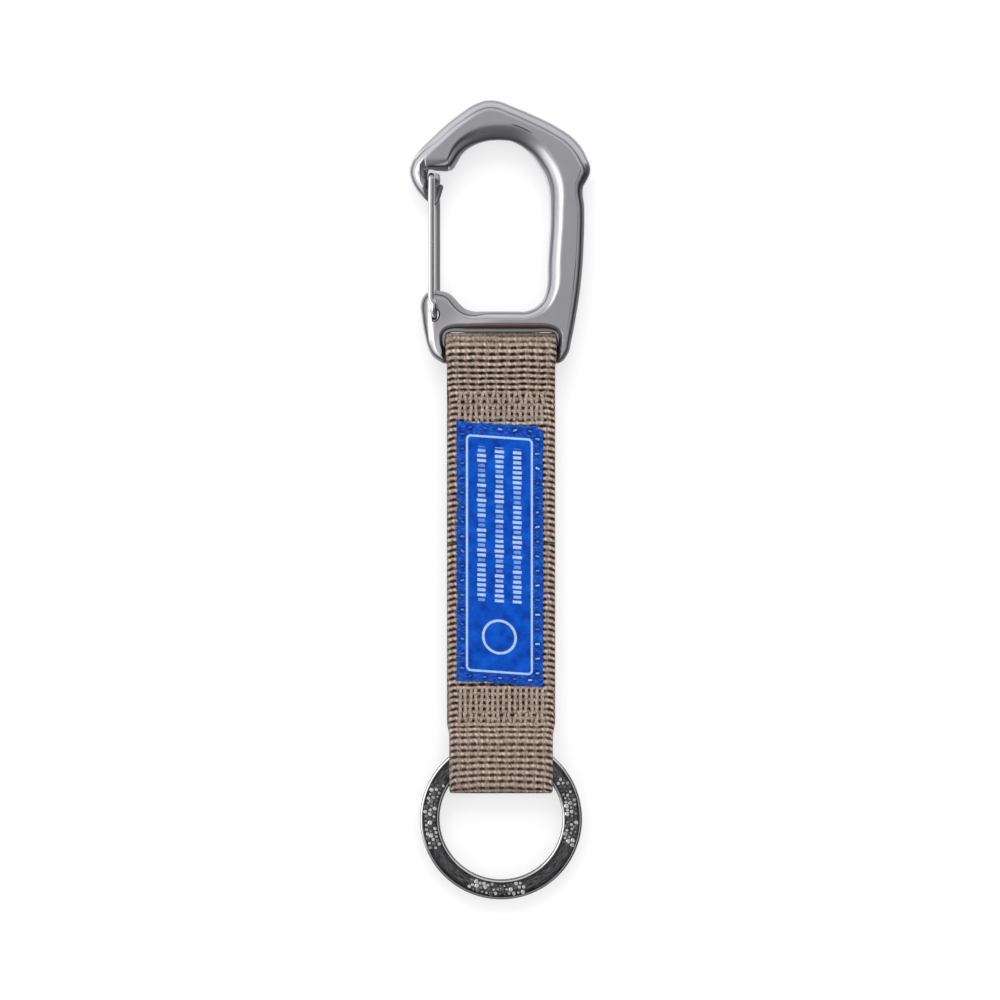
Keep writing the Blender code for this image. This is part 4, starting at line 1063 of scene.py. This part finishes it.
for kind, turn, steps in (("flat", flat_turn, 180), ("climb", step_angle, 12), ("flat", flat_turn, 180)):
    for index in range(steps if kind == "climb" else 1):
        climb = 0
        if kind == "climb":
            climb = (COIL_THICKNESS + COIL_GAP) * (math.cos(math.pi * index / steps)
                                                   - math.cos(math.pi * (index + 1) / steps)) / 2
        section = bmesh.ops.spin(bm, geom=section, cent=(0, 0, 0), axis=(0, 0, 1),
                                 dvec=(0, 0, climb), angle=turn if kind == "flat" else turn / steps,
                                 steps=steps if kind == "flat" else 1, use_merge=False,
                                 use_duplicate=False)["geom_last"]
bead_turn = BEAD_PITCH / middle_radius
lift = (COIL_THICKNESS + COIL_GAP) / 2 + COIL_THICKNESS / 2 + BEAD_HEIGHT / 2 - BEAD_SINK
for begin, end in BEAD_ZONES:
    for row, away in enumerate(BEAD_ROWS):
        turn = math.radians(begin) + bead_turn / 2 * (row % 2)
        while turn < math.radians(end):
            uneven = [noise.noise(Vector((turn * 23, row * 3.1, seed))) for seed in (1.5, 4.1, 8.7)]
            reach = middle_radius + (away + 0.25 * uneven[0]) * MM
            radius = BEAD_RADIUS * (1 + 0.8 * uneven[1])
            spot = Vector((reach * math.cos(turn), reach * math.sin(turn), lift))
            bead = bmesh.ops.create_cone(bm, cap_ends=True, cap_tris=False, segments=9, radius1=radius,
                                         radius2=radius * 0.72, depth=BEAD_HEIGHT,
                                         matrix=Matrix.Translation(spot))
            shine = min(max(0.62 + 2.2 * uneven[2], 0.1), 1)
            for vert in bead["verts"]:
                vert[worn_layer] = shine if vert.co.z > lift else 0.1
            turn += bead_turn
bmesh.ops.recalc_face_normals(bm, faces=bm.faces)
seat = (Matrix.Translation((STRAP_X, BEND_Y, MIDDLE_Z)) @ Matrix.Rotation(RING_LEAN, 4, "X")
        @ Matrix.Translation((0, -RING_DROP, 0)))
bmesh.ops.transform(bm, matrix=seat, verts=bm.verts)
ring_mesh = bpy.data.meshes.new("key_ring")
bm.to_mesh(ring_mesh)
bm.free()
ring = bpy.data.objects.new("key_ring", ring_mesh)
bpy.context.scene.collection.objects.link(ring)
ring.data.shade_smooth()
ring.data.set_sharp_from_angle(angle=math.radians(40))
ring_finish = Shading("black_nickel_plate")
ring_place = ring_finish.node("ShaderNodeVectorMath", {"operation": "SUBTRACT"}, Vector_001=seat.translation,
                              Vector=ring_finish.node("ShaderNodeTexCoord", output="Object"))
x, y = (ring_finish.node("ShaderNodeSeparateXYZ", output=axis, Vector=ring_place) for axis in "XY")
reach, turn = (x * x + y * y).math("SQRT"), y.math("ARCTAN2", x)
# fine scratches run round the face, and the plating is thin on the edges and on the beads
scratches = ring_finish.node("ShaderNodeTexNoise", Scale=1.0, Detail=3.0, Roughness=0.6,
                             Vector=ring_finish.node("ShaderNodeCombineXYZ", X=reach * 7000, Y=turn * 9))
from_middle = (reach - middle_radius).math("ABSOLUTE")
on_edge = (from_middle.between(RING_FACE / 2 - COIL_EDGE - 0.12 * MM, RING_FACE / 2 - COIL_EDGE + 0.04 * MM)
           * from_middle.between(RING_FACE / 2 - 0.06 * MM, RING_FACE / 2 - 0.2 * MM))
worn = ring_finish.node("ShaderNodeAttribute", {"attribute_name": "worn"}, output="Fac")
# painted reflection: the scratches are lighter along the middle of the face
painted_sheen = from_middle.between(RING_FACE / 2 - COIL_EDGE - 0.15 * MM, RING_FACE / 2 - 1.4 * MM)
plated = ring_finish.mix((0.014, 0.014, 0.016), (0.33, 0.33, 0.34),
                         scratches.between(0.3, 0.8) * (0.35 + painted_sheen * 0.65))
bared = (on_edge * 0.95).math("MAXIMUM", worn)
ring_finish.set(Base_Color=ring_finish.mix(plated, (0.92, 0.92, 0.93), bared), Metallic=1.0,
                Roughness=0.12 + scratches * 0.16)
ring.data.materials.append(ring_finish.material)
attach(ring, "ring")
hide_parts("split_ring")
